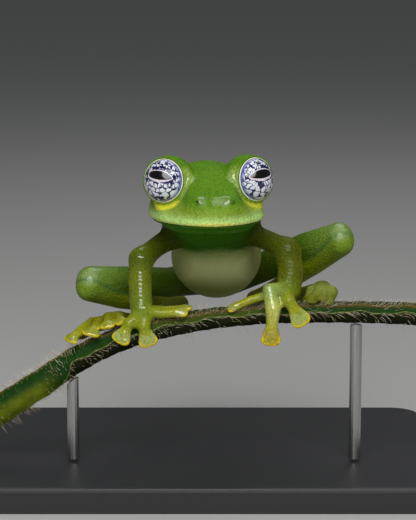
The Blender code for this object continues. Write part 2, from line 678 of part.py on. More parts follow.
def cutters():
    """The guides that part the body where a person would name its parts."""
    guides = [cut_plate("cut_neck", *NECK_CUT, (1.0, 0.0, 0.0), *NECK_PLATE)]
    for side, arm, forearm in (("right", ARM_RIGHT, FOREARM_RIGHT), ("left", ARM_LEFT, FOREARM_LEFT)):
        shoulder, elbow, wrist = (np.asarray(point) for point in (arm[1][0], arm[-1][0], forearm[-1][0]))
        upper, lower = unit(elbow - shoulder), unit(wrist - elbow)
        guides.append(cut_disc("cut_shoulder_" + side, shoulder + upper * SHOULDER_CUT, upper, SHOULDER_DISC))
        guides.append(cut_disc("cut_elbow_" + side, elbow, upper + lower, ELBOW_DISC))
        guides.append(cut_disc("cut_wrist_" + side, wrist - lower * WRIST_CUT, lower, WRIST_DISC))
    for side, thigh, shank, tarsus in (("right", THIGH_RIGHT, SHANK_RIGHT, TARSUS_RIGHT),
                                       ("left", THIGH_LEFT, SHANK_LEFT, TARSUS_LEFT)):
        hip, ankle = np.asarray(thigh[0][0]), np.asarray(shank[-1][0])
        knee = (np.asarray(thigh[-1][0]) + np.asarray(shank[0][0])) / 2
        outward = unit(np.subtract(thigh[1][0], hip))
        guides.append(cut_disc("cut_hip_" + side, hip + outward * HIP_CUT, outward, HIP_DISC))
        guides.append(fold_plate("cut_knee_" + side, knee, thigh[1][0], ankle, *KNEE_PLATE))
        guides.append(fold_plate("cut_ankle_" + side, ankle, shank[0][0], tarsus[1][0], *ANKLE_PLATE))
    return guides


def add_head(clay):
    """The head with its eye bulges, eye seats, lids, mouth and nostrils."""
    clay.add(head_form(), HEAD_BLEND)
    eyes = [(side, head_point(side * EYE_SPREAD, 0.0, 0.0), eye_axis(side)) for side in (-1, 1)]
    for side, eye, axis in eyes:
        clay.add(ball(eye - axis * BULGE_BACK, BULGE_RADIUS), BULGE_BLEND)
        clay.add(ball(nostril_point(side, -0.15, 0.3, -0.22), NOSTRIL_SWELL), LIMB_BLEND)
    shape_mouth(clay)
    for side, eye, axis in eyes:
        hollow = dish(eye + axis * (EYE_SEAT - GAP), axis, LID_RADIUS + LID_THICK, BULGE_RADIUS, DISH_FLARE)
        clay.carve(hollow, 0.0, DISH_BLEND)
        clay.add(ring(eye + axis * LID_SEAT, axis, LID_RADIUS, LID_THICK), LID_BLEND)
        root = eye - axis * (EYE_ROOT_DEPTH + GAP)
        clay.carve(dish(root, axis, EYE_ROOT_RADIUS + GAP, 2 * EYE_RADIUS, 0.0))
        mouth = nostril_point(side, 0.1, -0.42, 0.05)
        inner = nostril_point(side, -0.3, 0.3, 0.0)
        clay.carve(round_cone(mouth, inner, NOSTRIL_RADIUS, NOSTRIL_RADIUS / 2))


def body_clay():
    """The whole frog as one solid."""
    clay = Clay((-15.5, -9.0, -11.0), (16.5, 22.5, 12.0), VOXEL)
    for centre, radii, pitch in (CHEST, NAPE, BELLY, PELVIS):
        clay.add(ellipsoid(centre, radii, pitched(pitch)), TRUNK_BLEND)
    clay.add(ellipsoid(VENT[0], VENT[1], pitched(VENT[2])), LIMB_BLEND)
    clay.add(ellipsoid(YOKE[0], YOKE[1], pitched(YOKE[2])), YOKE_BLEND)
    clay.add(round_cone(*YOKE_FOLD), YOKE_BLEND)
    add_head(clay)
    for chain in (ARM_RIGHT, ARM_LEFT, FOREARM_RIGHT, FOREARM_LEFT, THIGH_RIGHT, THIGH_LEFT,
                  SHANK_RIGHT, SHANK_LEFT, TARSUS_RIGHT, TARSUS_LEFT):
        clay.add(swept(chain), LIMB_BLEND)
    for corners in ARMPITS:
        clay.add(web(corners, ARMPIT_THICK), YOKE_BLEND)
    for digits, webs in ((FINGERS_RIGHT, (FINGER_WEB,)), (FINGERS_LEFT, (FINGER_WEB,)),
                         (TOES_RIGHT, TOE_WEBS), (TOES_LEFT, TOE_WEBS)):
        add_digits(clay, digits, webs)
    line = stem_line()
    for start, end in zip(line, line[1:]):
        clay.carve(round_cone(start, end, stem_radius(start[0]), stem_radius(end[0])), GAP)
    return clay


def part_centres():
    """A point inside each body part, for naming the pieces that the cuts leave."""
    centres = {"head": HEAD_PLACE, "torso": (0.8, 8.5, 0.0)}
    for side, chains in (("right", (ARM_RIGHT, FOREARM_RIGHT, THIGH_RIGHT, SHANK_RIGHT)),
                         ("left", (ARM_LEFT, FOREARM_LEFT, THIGH_LEFT, SHANK_LEFT))):
        for name, chain in zip(("upper_arm", "forearm", "thigh", "shank"), chains):
            middle = chain[1:] if name == "upper_arm" else chain
            centres[name + "_" + side] = np.mean([point for point, radius in middle], axis=0)
    centres["hand_right"] = np.add(FINGERS_RIGHT[3][0][0][0], (0.0, -0.3, -0.3))
    centres["hand_left"] = np.add(FINGERS_LEFT[3][0][0][0], (-0.7, -0.5, -0.3))
    centres["foot_right"] = TARSUS_RIGHT[2][0]
    centres["foot_left"] = TARSUS_LEFT[2][0]
    return {name: (np.asarray(centre) + PLACE) * MM for name, centre in centres.items()}


def split_body(body):
    """Part the body with its cutters, and find each named part's piece."""
    guides = cutters()
    for guide in guides:
        cut = body.modifiers.new(guide.name, "BOOLEAN")
        cut.operation = "DIFFERENCE"
        cut.object = guide
        cut.solver = "EXACT"
    apply_modifiers(body)
    for guide in guides:
        bpy.data.objects.remove(guide)
    pieces = [piece for piece in loose_pieces(body.data) if len(piece[1]) > SCRAP_FACES]
    return {name: min(pieces, key=lambda piece: nearest(piece, centre))
            for name, centre in part_centres().items()}


def loose_pieces(mesh):
    """The closed surfaces of a mesh, each as its points and faces."""
    bm = bmesh.new()
    bm.from_mesh(mesh)
    bm.faces.ensure_lookup_table()
    seen = set()
    pieces = []
    for seed in bm.faces:
        if seed.index in seen:
            continue
        seen.add(seed.index)
        island = [seed]
        for face in island:
            for edge in face.edges:
                for neighbour in edge.link_faces:
                    if neighbour.index not in seen:
                        seen.add(neighbour.index)
                        island.append(neighbour)
        order = {}
        faces = [[order.setdefault(vert.index, len(order)) for vert in face.verts] for face in island]
        bm.verts.ensure_lookup_table()
        points = np.array([bm.verts[i].co for i in order])
        pieces.append((points, faces))
    bm.free()
    return pieces


def nearest(piece, centre):
    """Distance from a point to a piece's nearest corner."""
    return np.linalg.norm(piece[0] - centre, axis=1).min()


def turned(name, profile, place, axis, sides, finish):
    """A solid turned round an axis from (radius, height) pairs that start and end on the axis."""
    turn = Vector(axis).to_track_quat("Z", "Y").to_matrix()
    points = [(0.0, 0.0, profile[0][1])]
    for radius, height in profile[1:-1]:
        for k in range(sides):
            angle = 2 * math.pi * k / sides
            points.append((radius * math.cos(angle), radius * math.sin(angle), height))
    points.append((0.0, 0.0, profile[-1][1]))
    rings = len(profile) - 2
    faces = []
    for k in range(sides):
        after = (k + 1) % sides
        faces.append((0, 1 + after, 1 + k))
        for j in range(rings - 1):
            low, high = 1 + j * sides, 1 + (j + 1) * sides
            faces.append((low + k, low + after, high + after, high + k))
        last = 1 + (rings - 1) * sides
        faces.append((len(points) - 1, last + k, last + after))
    placed = [np.array(turn @ Vector(point)) + place for point in points]
    return new_object(name, in_model(placed), faces, finish)


def make_eye(side, name):
    """An eye: a dome on its seat, with a root sunk in the head."""
    profile = [(0.0, -EYE_ROOT_DEPTH), (EYE_ROOT_RADIUS, -EYE_ROOT_DEPTH), (EYE_ROOT_RADIUS, EYE_SEAT)]
    start = math.atan2(EYE_RIM, EYE_SEAT)
    for k in range(EYE_RINGS):
        angle = start * (1 - k / EYE_RINGS)
        profile.append((EYE_RADIUS * math.sin(angle), EYE_RADIUS * math.cos(angle)))
    profile.append((0.0, EYE_RADIUS))
    place = head_point(side * EYE_SPREAD, 0.0, 0.0)
    finish = material(name, EYE_COLOUR, EYE_ROUGHNESS)
    return turned(name, profile, place, eye_axis(side), EYE_SIDES, finish)


def stem_mesh(extra):
    """Points and faces of the stem, made thicker by extra, with its channel along the top."""
    line = stem_line()
    tangents = np.gradient(line, axis=0)
    points, faces = [], []
    for place, tangent in zip(line, tangents):
        tangent = unit(tangent)
        up = np.array((-tangent[2], 0.0, tangent[0]))
        radius = stem_radius(place[0])
        for k in range(STEM_SIDES):
            angle = 2 * math.pi * k / STEM_SIDES
            off_top = (angle - math.pi / 2) / CHANNEL_WIDTH
            deep = 1.0 - CHANNEL_DEPTH * math.exp(-off_top ** 2) + extra / radius
            around = up * math.sin(angle) - np.array((0.0, math.cos(angle), 0.0))
            points.append(place + radius * deep * around)
    for j in range(len(line) - 1):
        for k in range(STEM_SIDES):
            after = (k + 1) % STEM_SIDES
            low, high = j * STEM_SIDES, (j + 1) * STEM_SIDES
            faces.append((low + k, high + k, high + after, low + after))
    faces.append(tuple(range(STEM_SIDES)))
    last = (len(line) - 1) * STEM_SIDES
    faces.append(tuple(reversed(range(last, last + STEM_SIDES))))
    return in_model(points), faces


def make_base():
    """The stand's flat base: a slab with round corners and a softened top edge."""
    bm = bmesh.new()
    bmesh.ops.create_cube(bm, size=1.0)
    bm.transform(Matrix.Translation((0, 0, BASE_HEIGHT * MM / 2))
                 @ Matrix.Diagonal((BASE_LENGTH * MM, BASE_DEPTH * MM, BASE_HEIGHT * MM, 1.0)))
    upright = [edge for edge in bm.edges if abs(edge.verts[0].co.z - edge.verts[1].co.z) > MM]
    bmesh.ops.bevel(bm, geom=upright, offset=BASE_CORNER * MM, segments=6, profile=0.5, affect="EDGES")
    top = [edge for edge in bm.edges if all(vert.co.z > (BASE_HEIGHT - 0.01) * MM for vert in edge.verts)]
    bmesh.ops.bevel(bm, geom=top, offset=BASE_BEVEL * MM, segments=3, profile=0.5, affect="EDGES")
    mesh = bpy.data.meshes.new("stand_base")
    bm.to_mesh(mesh)
    bm.free()
    mesh.materials.append(material("stand_base", STAND_COLOUR, STAND_ROUGHNESS))
    obj = bpy.data.objects.new("stand_base", mesh)
    bpy.context.collection.objects.link(obj)
    return obj


def make_rods():
    """The stand's rods, up to the stem and saddled to its underside."""
    rods = []
    foot = BASE_HEIGHT + GAP - PLACE[2]
    for name, x in ROD_PLACES.items():
        top = np.interp(x, *zip(*STEM_ROUTE))
        profile = [(0.0, foot), (ROD_RADIUS, foot), (ROD_RADIUS, top), (0.0, top)]
        finish = material(name, ROD_COLOUR, ROD_ROUGHNESS, 1.0)
        obj = turned(name, profile, np.array((x, 0.0, 0.0)), (0.0, 0.0, 1.0), ROD_SIDES, finish)
        saddle = new_object("saddle", *stem_mesh(GAP))
        saddle.hide_render = True
        saddle.display_type = "WIRE"
        cut = obj.modifiers.new("saddle", "BOOLEAN")
        cut.operation = "DIFFERENCE"
        cut.object = saddle
        cut.solver = "EXACT"
        apply_modifiers(obj)
        bpy.data.objects.remove(saddle)
        rods.append(obj)
    return rods


def main():
    for obj in list(bpy.data.objects):
        bpy.data.objects.remove(obj)
    clay = body_clay()
    points, quads = clay.surface()
    body = new_object("body", in_model(points), quads)
    shrink = body.modifiers.new("coarser", "DECIMATE")
    shrink.ratio = BODY_TRIANGLES / (2 * len(quads))
    shrink.use_collapse_triangulate = True
    apply_modifiers(body)
    parts = split_body(body)
    bpy.data.objects.remove(body)
    group = bpy.data.objects.new("glass_frog", None)
    bpy.context.collection.objects.link(group)
    nodes = []
    for name, (points, faces) in parts.items():
        colour = COLOURS[name.replace("_right", "").replace("_left", "")]
        nodes.append(new_object(name, points, faces, material(name, colour, SKIN_ROUGHNESS)))
    nodes += [make_eye(-1, "eye_right"), make_eye(1, "eye_left")]
    nodes.append(new_object("perch", *stem_mesh(0.0), material("perch", STEM_COLOUR, STEM_ROUGHNESS)))
    nodes += [make_base(), *make_rods()]
    for node in nodes:
        node.parent = group


main()
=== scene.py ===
"""Looks of a life-size glass frog that grips a cut length of hairy stem on a plain display stand.

Sizes are in millimetres until a mesh is made, which is in metres, as in the solids.
Frog frame: +X is the frog's left, +Y its rear, +Z up. The origin is on the stem's axis line, at the
height of the middle of the picture, and PLACE moves it to the model's frame, where the base stands.
"""
import functools
import math

import bpy
import numpy as np
from mathutils import Matrix, Vector


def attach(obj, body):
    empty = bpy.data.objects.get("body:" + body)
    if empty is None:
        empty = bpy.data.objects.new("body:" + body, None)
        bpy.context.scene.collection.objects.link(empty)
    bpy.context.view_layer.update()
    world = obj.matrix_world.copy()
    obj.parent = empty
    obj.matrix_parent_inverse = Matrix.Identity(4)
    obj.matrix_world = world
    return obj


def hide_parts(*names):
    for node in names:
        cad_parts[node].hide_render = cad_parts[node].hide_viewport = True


MM = 0.001
PLACE = np.array((0.0, -6.1, 23.0))
SIDES = (("right", -1), ("left", 1))

# Head
HEAD_PLACE = np.array((0.1, -1.5, 7.93))
HEAD_YAW = math.radians(6.5)    # nose to the frog's left
HEAD_PITCH = math.radians(6.0)  # nose down
HEAD_HALF_WIDTH = 5.5
HEAD_WIDEST = 3.6               # how far behind the eyes the jaws are widest
SNOUT_LENGTH = 9.45             # from there to the tip of the snout
NAPE_LENGTH = 4.8               # from there back into the neck
JAW_INSET = 0.2                 # how far the lower jaw stands inside the upper one, as a share
JAW_STEP = 0.45                 # the height over which it steps in
HEAD_REACH = np.array((7.5, 7.5, 6.5))
# The head seen from the side, as (y, z) pairs in the head frame
HEAD_TOP = ((-5.8, -1.55), (-5.4, -0.95), (-4.8, -0.62), (-3.5, -0.1), (-2.0, 0.42), (-0.5, 0.95),
            (1.0, 1.28), (3.0, 1.28), (5.0, 0.75), (7.0, -0.4))
MOUTH_LINE = ((-5.8, -3.15), (-3.0, -3.45), (0.0, -3.85), (3.6, -4.2))
PROFILE_STEPS = (-0.8, -0.4, 0.0, 0.4, 0.8)   # a profile is averaged over these to round its corners
THROAT = ((-5.8, -3.7), (-5.0, -4.1), (-3.0, -4.6), (0.0, -5.0), (3.0, -5.3), (7.0, -5.4))
NOSTRIL = np.array((1.62, -4.95, -0.9))
NOSTRIL_SWELL = 0.5
NOSTRIL_RADIUS = 0.1
MOUTH_DEPTH = 0.42
MOUTH_GAPE = 0.05               # half the height of the groove between the lips
MOUTH_CORNER = 3.2              # how far behind the eyes the mouth ends
CORNER_FADE = 1.2
LIP_SWELL = 0.14
LIP_HEIGHT = 0.32               # the swell's middle, above the mouth line
LIP_SPREAD = 0.28

# Eyes
EYE_SPREAD = 4.03               # eye centre from the head's middle plane
EYE_RADIUS = 2.24
EYE_OUTWARD = math.radians(33.0)
EYE_UPWARD = math.radians(13.0)
BULGE_RADIUS = 2.45
BULGE_BACK = 0.3                # bulge centre behind the eye centre
BULGE_INWARD = 0.1              # and nearer the head's middle plane
BULGE_BLEND = 0.6
LID_CUT = 0.62                  # where the bulge ends, forward of the eye's centre
DISH_FLARE = 0.9                # how fast the hollow round the eye widens outward
DISH_BLEND = 0.5
LID_SEAT = 0.72                 # the lids' ring, forward of the eye's centre
LID_RADIUS = 2.18
LID_THICK = 0.13
RIM_SEAT = 0.88                 # the pale line between lid and eye
RIM_RADIUS = 2.05
RIM_THICK = (0.045, 0.08)       # at the temple and at the nose side
PUPIL_OUTWARD = {-1: math.radians(29.0), 1: math.radians(25.5)}   # by side
PUPIL_UPWARD = math.radians(26.0)
PUPIL_HALF_WIDTH = 1.28
PUPIL_HALF_HEIGHT = 0.44

# Trunk: centre, radii, pitch in degrees
CHEST = ((0.4, 4.4, 2.7), (4.3, 3.5, 2.6), 30)
BELLY = ((0.85, 8.7, -1.2), (4.6, 5.7, 3.95), 38)
NAPE = ((0.4, 5.8, 4.0), (4.3, 4.8, 2.9), 35)
PELVIS = ((1.0, 15.3, -4.1), (2.75, 4.1, 2.1), 38)
VENT = ((1.0, 17.9, -5.9), (1.1, 1.3, 0.9), 38)

# Limbs: chains of points with a radius at each
ARM_RIGHT = [((-2.2, 4.3, 2.2), 1.15), ((-4.0, 3.5, 1.45), 0.95), ((-6.6, 1.3, -0.35), 1.05)]
YOKE = ((0.3, 3.9, 2.5), (4.5, 3.4, 1.85), 0)    # the chest, which overhangs the belly
YOKE_BLEND = 0.3
YOKE_FOLD = ((-3.1, 3.6, 1.35), (3.8, 3.6, 1.6), 0.95, 0.95)   # the fold along its lower edge
# The folds of skin in the armpits: at the chest, at the tip, and inside the arm
ARMPITS = (((-3.2, 3.3, 0.65), (-5.15, 2.7, -0.12), (-4.3, 3.2, 1.3)),
           ((4.3, 3.3, 1.0), (5.8, 2.6, 0.72), (5.1, 3.1, 1.6)))
ARMPIT_THICK = 0.4
ARM_LEFT = [((2.9, 4.3, 2.4), 1.15), ((4.7, 3.5, 1.75), 0.95), ((7.85, 1.3, 0.55), 1.12)]
FOREARM_RIGHT = [((-6.6, 1.3, -0.35), 1.1), ((-6.7, 0.75, -2.4), 1.15), ((-6.6, 0.0, -4.75), 1.1)]
FOREARM_LEFT = [((7.85, 1.3, 0.55), 1.18), ((8.15, 0.7, -1.3), 1.26), ((7.95, 0.0, -3.2), 1.18)]
THIGH_RIGHT = [((-0.9, 16.0, -5.0), 1.7), ((-4.2, 13.6, -4.95), 1.55), ((-8.2, 10.6, -4.15), 1.4),
               ((-12.0, 7.8, -3.6), 1.4)]
THIGH_LEFT = [((2.9, 16.0, -4.8), 1.7), ((6.2, 13.4, -3.1), 1.55), ((10.0, 10.4, -0.6), 1.4),
              ((13.3, 7.8, 0.95), 1.36)]
SHANK_RIGHT = [((-12.1, 7.2, -4.4), 1.3), ((-9.0, 10.6, -5.9), 1.25), ((-5.6, 15.7, -7.6), 0.95),
               ((-3.1, 19.0, -8.3), 0.8)]
SHANK_LEFT = [((13.5, 7.2, 0.25), 1.28), ((10.9, 10.6, -2.3), 1.25), ((7.5, 15.7, -5.8), 0.95),
              ((5.1, 19.0, -7.8), 0.8)]
TARSUS_RIGHT = [((-3.1, 19.0, -8.35), 0.85), ((-4.8, 13.5, -8.35), 0.75), ((-6.7, 7.5, -8.0), 0.8),
                ((-8.3, 3.0, -6.9), 0.85)]
TARSUS_LEFT = [((5.1, 19.0, -7.85), 0.85), ((7.1, 13.5, -6.7), 0.75), ((9.4, 7.5, -5.2), 0.8),
               ((11.0, 3.2, -3.9), 0.85)]

# Digits: the chain of the digit, then its pad's half width, half length and the way the pad faces
FINGERS_RIGHT = [
    ([((-6.5, -0.4, -5.2), 0.66), ((-4.6, -0.9, -5.35), 0.5), ((-3.1, -1.1, -5.2), 0.44)],
     0.58, 0.72, (0.0, -0.7, 0.7)),
    ([((-6.3, 0.3, -5.25), 0.55), ((-4.3, 0.5, -5.3), 0.42), ((-2.4, 0.35, -5.1), 0.36)],
     0.46, 0.55, (0.0, -0.2, 0.98)),
    ([((-6.7, -0.6, -5.5), 0.74), ((-7.7, -1.35, -6.3), 0.62), ((-8.15, -1.65, -7.05), 0.4)],
     0.98, 0.8, (-0.1, -0.95, 0.35)),
    ([((-6.2, -0.7, -5.6), 0.78), ((-6.3, -1.45, -6.5), 0.68), ((-6.08, -1.65, -7.2), 0.42)],
     1.0, 0.85, (0.05, -0.97, 0.3))]
FINGERS_LEFT = [
    ([((7.3, -0.4, -3.1), 0.6), ((5.5, -0.8, -3.6), 0.42), ((4.0, -0.9, -4.05), 0.4),
      ((2.7, -0.9, -4.65), 0.38)], 0.45, 0.55, (-0.3, -0.6, 0.75)),
    ([((7.2, 0.3, -3.3), 0.5), ((5.4, 0.35, -4.1), 0.34), ((4.0, 0.4, -4.5), 0.3)],
     0.36, 0.45, (-0.2, -0.3, 0.9)),
    ([((7.1, -0.7, -3.0), 0.72), ((6.0, -1.2, -2.95), 0.68), ((6.35, -1.7, -4.8), 0.78),
      ((6.2, -2.15, -6.7), 0.5)], 0.98, 1.0, (0.0, -1.0, 0.15)),
    ([((7.6, -0.8, -3.4), 0.72), ((7.9, -1.5, -4.0), 0.66), ((8.55, -1.8, -5.0), 0.45)],
     1.02, 1.0, (0.1, -0.97, 0.3))]
TOES_RIGHT = [
    ([((-8.6, 2.4, -6.6), 0.68), ((-8.9, 0.9, -6.1), 0.52), ((-8.6, -0.3, -6.2), 0.45)],
     0.6, 0.5, (0.0, -0.9, 0.4)),
    ([((-8.9, 2.4, -6.5), 0.65), ((-9.9, 0.7, -6.0), 0.48), ((-9.9, -0.75, -6.45), 0.38)],
     0.78, 0.5, (-0.1, -0.9, 0.35)),
    ([((-9.2, 2.3, -6.6), 0.65), ((-10.9, 0.6, -6.5), 0.48), ((-11.35, -0.9, -7.1), 0.38)],
     0.95, 0.55, (-0.15, -0.92, 0.3)),
    ([((-9.4, 2.3, -6.8), 0.65), ((-11.5, 1.2, -6.6), 0.45), ((-12.6, 0.0, -7.2), 0.4),
      ((-13.2, -0.75, -7.7), 0.38)], 0.8, 0.55, (-0.35, -0.8, 0.4)),
    ([((-9.0, 2.5, -6.9), 0.55), ((-11.0, 2.3, -7.4), 0.42), ((-12.4, 2.1, -8.1), 0.36)],
     0.6, 0.5, (-0.4, 0.3, 0.8))]
TOES_LEFT = [
    ([((11.0, 2.8, -3.6), 0.62), ((10.2, 2.1, -3.6), 0.45), ((9.9, 1.6, -4.3), 0.36)],
     0.5, 0.45, (-0.2, -0.6, 0.9)),
    ([((11.2, 2.6, -3.65), 0.68), ((11.1, 0.9, -3.6), 0.62), ((10.3, -0.3, -4.0), 0.48)],
     0.5, 0.5, (-0.3, -0.8, 0.5)),
    ([((11.5, 2.6, -3.65), 0.72), ((12.2, 0.9, -3.55), 0.64), ((11.9, -0.2, -4.1), 0.5)],
     0.55, 0.45, (-0.2, -0.9, 0.4)),
    ([((11.5, 2.8, -3.5), 0.65), ((12.1, 2.0, -3.9), 0.48), ((12.1, 1.6, -5.0), 0.38)],
     0.6, 0.5, (0.1, 0.9, 0.1)),
    ([((11.2, 3.0, -3.9), 0.55), ((11.2, 2.4, -4.8), 0.42), ((11.0, 1.8, -5.8), 0.36)],
     0.55, 0.5, (0.0, 0.9, 0.0))]
PAD_HALF_THICK = 0.3
PAD_POWER = 3.2                 # how square the end of a pad is
PAD_NARROW = 0.68               # a pad's width at its root, as a share
WEB_THICK = 0.22
FINGER_WEB = (2, 3)             # the outer two fingers of each hand are webbed
TOE_WEBS = ((0, 1), (1, 2), (2, 3), (3, 4))

# Stem
STEM_ROUTE = [(-21.4, -15.7), (-17.6, -13.3), (-14.6, -11.25), (-12.1, -9.7), (-9.6, -8.5), (-6.6, -7.45),
              (-3.2, -6.65), (0.2, -6.05), (3.7, -5.7), (7.2, -5.5), (11.0, -5.4), (16.0, -5.4), (21.3, -5.6)]
STEM_RADII = [(-21.4, 1.4), (-12.0, 1.25), (-4.0, 1.08), (6.0, 0.98), (21.3, 1.12)]
STEM_STEP = 0.14
STEM_SIDES = 72
# Where the channel's two margins run, in degrees round the stem from its front, over the top
FRONT_MARGIN = ((-21.4, -72), (-15.2, -62), (-14.4, -42), (-13.2, 3), (-9.0, 10), (-3.0, 12), (3.0, 12), (21.3, 10))
REAR_MARGIN = ((-21.4, 92), (-13.0, 86), (-9.0, 60), (-3.0, 46), (3.0, 46), (10.0, 50), (21.3, 52))
CHANNEL_DEPTH = 0.14
MARGIN_WAVE = math.radians(6)
MARGIN_WIDTH = math.radians(7)
MARGIN_RISE = 0.07
HAIR_RADIUS = 0.022
HAIR_SPACING = 0.09
HAIR_SEGMENTS = 5
HAIR_SEED = 11

# Grid
VOXEL = 0.1
FAR = 9.0                       # the distance that stands for empty space
SEPARATE_ROUNDS = 12
TRUNK_BLEND = 1.6
HEAD_BLEND = 1.9
LIMB_BLEND = 0.7
DIGIT_BLEND = 0.4
LID_BLEND = 0.12
STEM_CLEARANCE = 0.03
CORNERS = [(i, j, k) for i in (0, 1) for j in (0, 1) for k in (0, 1)]

# Camera: the photo's frame is 416 by 520 pixels
FRAME_HEIGHT = 520
CAMERA_DISTANCE = 200.0
CAMERA_RISE = math.radians(10)
CAMERA_AIM = (0.0, -7.1, 23.0)
FOCAL_PIXELS = 2051.0
SENSOR = 36.0


def srgb(red, green, blue):
    """A linear colour from 0 to 255 screen values."""
    return np.array([((value / 255 + 0.055) / 1.055) ** 2.4 for value in (red, green, blue)])


def unit(vector):
    """The vector at length one."""
    vector = np.asarray(vector, float)
    return vector / np.linalg.norm(vector)


def smoothstep(value, low, high):
    """0 at low to 1 at high, easing at both ends."""
    share = np.clip((value - low) / (high - low), 0.0, 1.0)
    return share * share * (3.0 - 2.0 * share)


def smooth_min(a, b, blend):
    """The union of two solids with a rounded joint."""
    share = np.clip(0.5 + 0.5 * (b - a) / blend, 0.0, 1.0)
    return b + (a - b) * share - blend * share * (1.0 - share)


def as_distance(level):
    """Rough distance to the surface where a level is one."""
    steep = np.sqrt(sum(part ** 2 for part in np.gradient(level, VOXEL)))
    return np.clip((level - 1.0) / np.maximum(steep, 0.08), -FAR, FAR)


def in_axes(x, y, z, centre, axes):
    """Coordinates along axes, measured from centre."""
    return [axis[0] * (x - centre[0]) + axis[1] * (y - centre[1]) + axis[2] * (z - centre[2])
            for axis in axes]


def ellipsoid(centre, radii, axes):
    """Distance to an ellipsoid whose own axes are the rows of axes."""
    centre = np.asarray(centre, float)

    def distance(x, y, z):
        local = in_axes(x, y, z, centre, axes)
        near = np.sqrt(sum((part / radius) ** 2 for part, radius in zip(local, radii)))
        slope = np.sqrt(sum((part / radius ** 2) ** 2 for part, radius in zip(local, radii)))
        return near * (near - 1.0) / np.maximum(slope, 1e-6)

    reach = max(radii)
    return centre - reach, centre + reach, distance


def place_on_line(x, y, z, start, end):
    """How far along a line its nearest place is, from 0 to 1, and the distance to that place."""
    line = np.asarray(end, float) - start
    px, py, pz = x - start[0], y - start[1], z - start[2]
    along = np.clip((px * line[0] + py * line[1] + pz * line[2]) / max(line @ line, 1e-9), 0.0, 1.0)
    away = (px - along * line[0]) ** 2 + (py - along * line[1]) ** 2 + (pz - along * line[2]) ** 2
    return along, np.sqrt(away)


def round_cone(start, end, start_radius, end_radius):
    """Distance to a ball swept along a line while its radius changes."""
    def distance(x, y, z):
        along, away = place_on_line(x, y, z, start, end)
        return away - (start_radius + (end_radius - start_radius) * along)

    reach = max(start_radius, end_radius)
    return np.minimum(start, end) - reach, np.maximum(start, end) + reach, distance


def swept(chain):
    """Distance to a limb or digit swept through its points."""
    pieces = [round_cone(start, end, start_radius, end_radius)
              for (start, start_radius), (end, end_radius) in zip(chain, chain[1:])]

    def distance(x, y, z):
        return functools.reduce(np.minimum, [piece[2](x, y, z) for piece in pieces])

    return (np.min([piece[0] for piece in pieces], axis=0), np.max([piece[1] for piece in pieces], axis=0),
            distance)


def ball(centre, radius):
    """Distance to a ball."""
    return round_cone(centre, centre, radius, radius)


def pad_level(x, y, z, centre, half_width, half_length, axes):
    """A level that is one on the surface of a flat, square-ended pad, narrower at its root."""
    across, along, through = in_axes(x, y, z, centre, axes)
    flare = PAD_NARROW + (1.0 - PAD_NARROW) * smoothstep(along / half_length, -1.0, 0.5)
    plan = (np.abs(across) / (half_width * flare)) ** PAD_POWER + np.abs(along / half_length) ** PAD_POWER
    return (plan ** (2.0 / PAD_POWER) + (through / PAD_HALF_THICK) ** 2) ** 0.5


def pad(centre, half_width, half_length, axes):
    """Distance to the pad of a digit."""
    def distance(x, y, z):
        return as_distance(pad_level(x, y, z, centre, half_width, half_length, axes))

    reach = max(half_width, half_length)
    return centre - reach, centre + reach, distance


def web(corners, thickness):
    """Distance to a flat triangle of skin with rounded edges."""
    points = np.array(corners, float)
    a, b, c = points
    normal = unit(np.cross(b - a, c - a))

    def distance(x, y, z):
        inside = True
        nearest = FAR
        for start, end in ((a, b), (b, c), (c, a)):
            inward = np.cross(normal, end - start)
            inside = inside & (in_axes(x, y, z, start, [inward])[0] > 0)
            nearest = np.minimum(nearest, place_on_line(x, y, z, start, end)[1])
        flat = in_axes(x, y, z, a, [normal])[0]
        return np.where(inside, np.abs(flat), nearest) - thickness / 2

    return points.min(axis=0) - thickness, points.max(axis=0) + thickness, distance


def up_and_across(x, y, z, point, normal):
    """Height over a plane at point, and distance from its normal."""
    px, py, pz = x - point[0], y - point[1], z - point[2]
    up = px * normal[0] + py * normal[1] + pz * normal[2]
    return up, np.sqrt(np.maximum(px ** 2 + py ** 2 + pz ** 2 - up ** 2, 0.0))


def dish(point, normal, radius, height):
    """Distance to a bowl of some height that opens outward from a disc on a plane at point."""
    def distance(x, y, z):
        up, across = up_and_across(x, y, z, point, normal)
        wall = (across - radius - DISH_FLARE * up) / math.hypot(1.0, DISH_FLARE)
        return np.maximum(np.maximum(-up, up - height), wall)

    reach = radius + (1.0 + DISH_FLARE) * height
    return point - reach, point + reach, distance


def ring(centre, normal, radius, thickness):
    """Distance to a ring of round section."""
    def distance(x, y, z):
        up, across = up_and_across(x, y, z, centre, normal)
        return np.sqrt((across - radius) ** 2 + up ** 2) - thickness

    reach = radius + thickness
    return centre - reach, centre + reach, distance


def is_torn(code):
    """Whether a cell's inside or outside corners hang together only across a diagonal."""
    signs = {corner: bool(code >> bit & 1) for bit, corner in enumerate(CORNERS)}
    for value in (True, False):
        group = [corner for corner in CORNERS if signs[corner] == value]
        reached = group[:1]
        for corner in reached:
            for other in group:
                if other not in reached and sum(a != b for a, b in zip(corner, other)) == 1:
                    reached.append(other)
        if len(reached) < len(group):
            return True
    for axis in range(3):
        for level in (0, 1):
            face = [corner for corner in CORNERS if corner[axis] == level]
            if signs[face[0]] == signs[face[3]] != signs[face[1]] == signs[face[2]]:
                return True
    return False


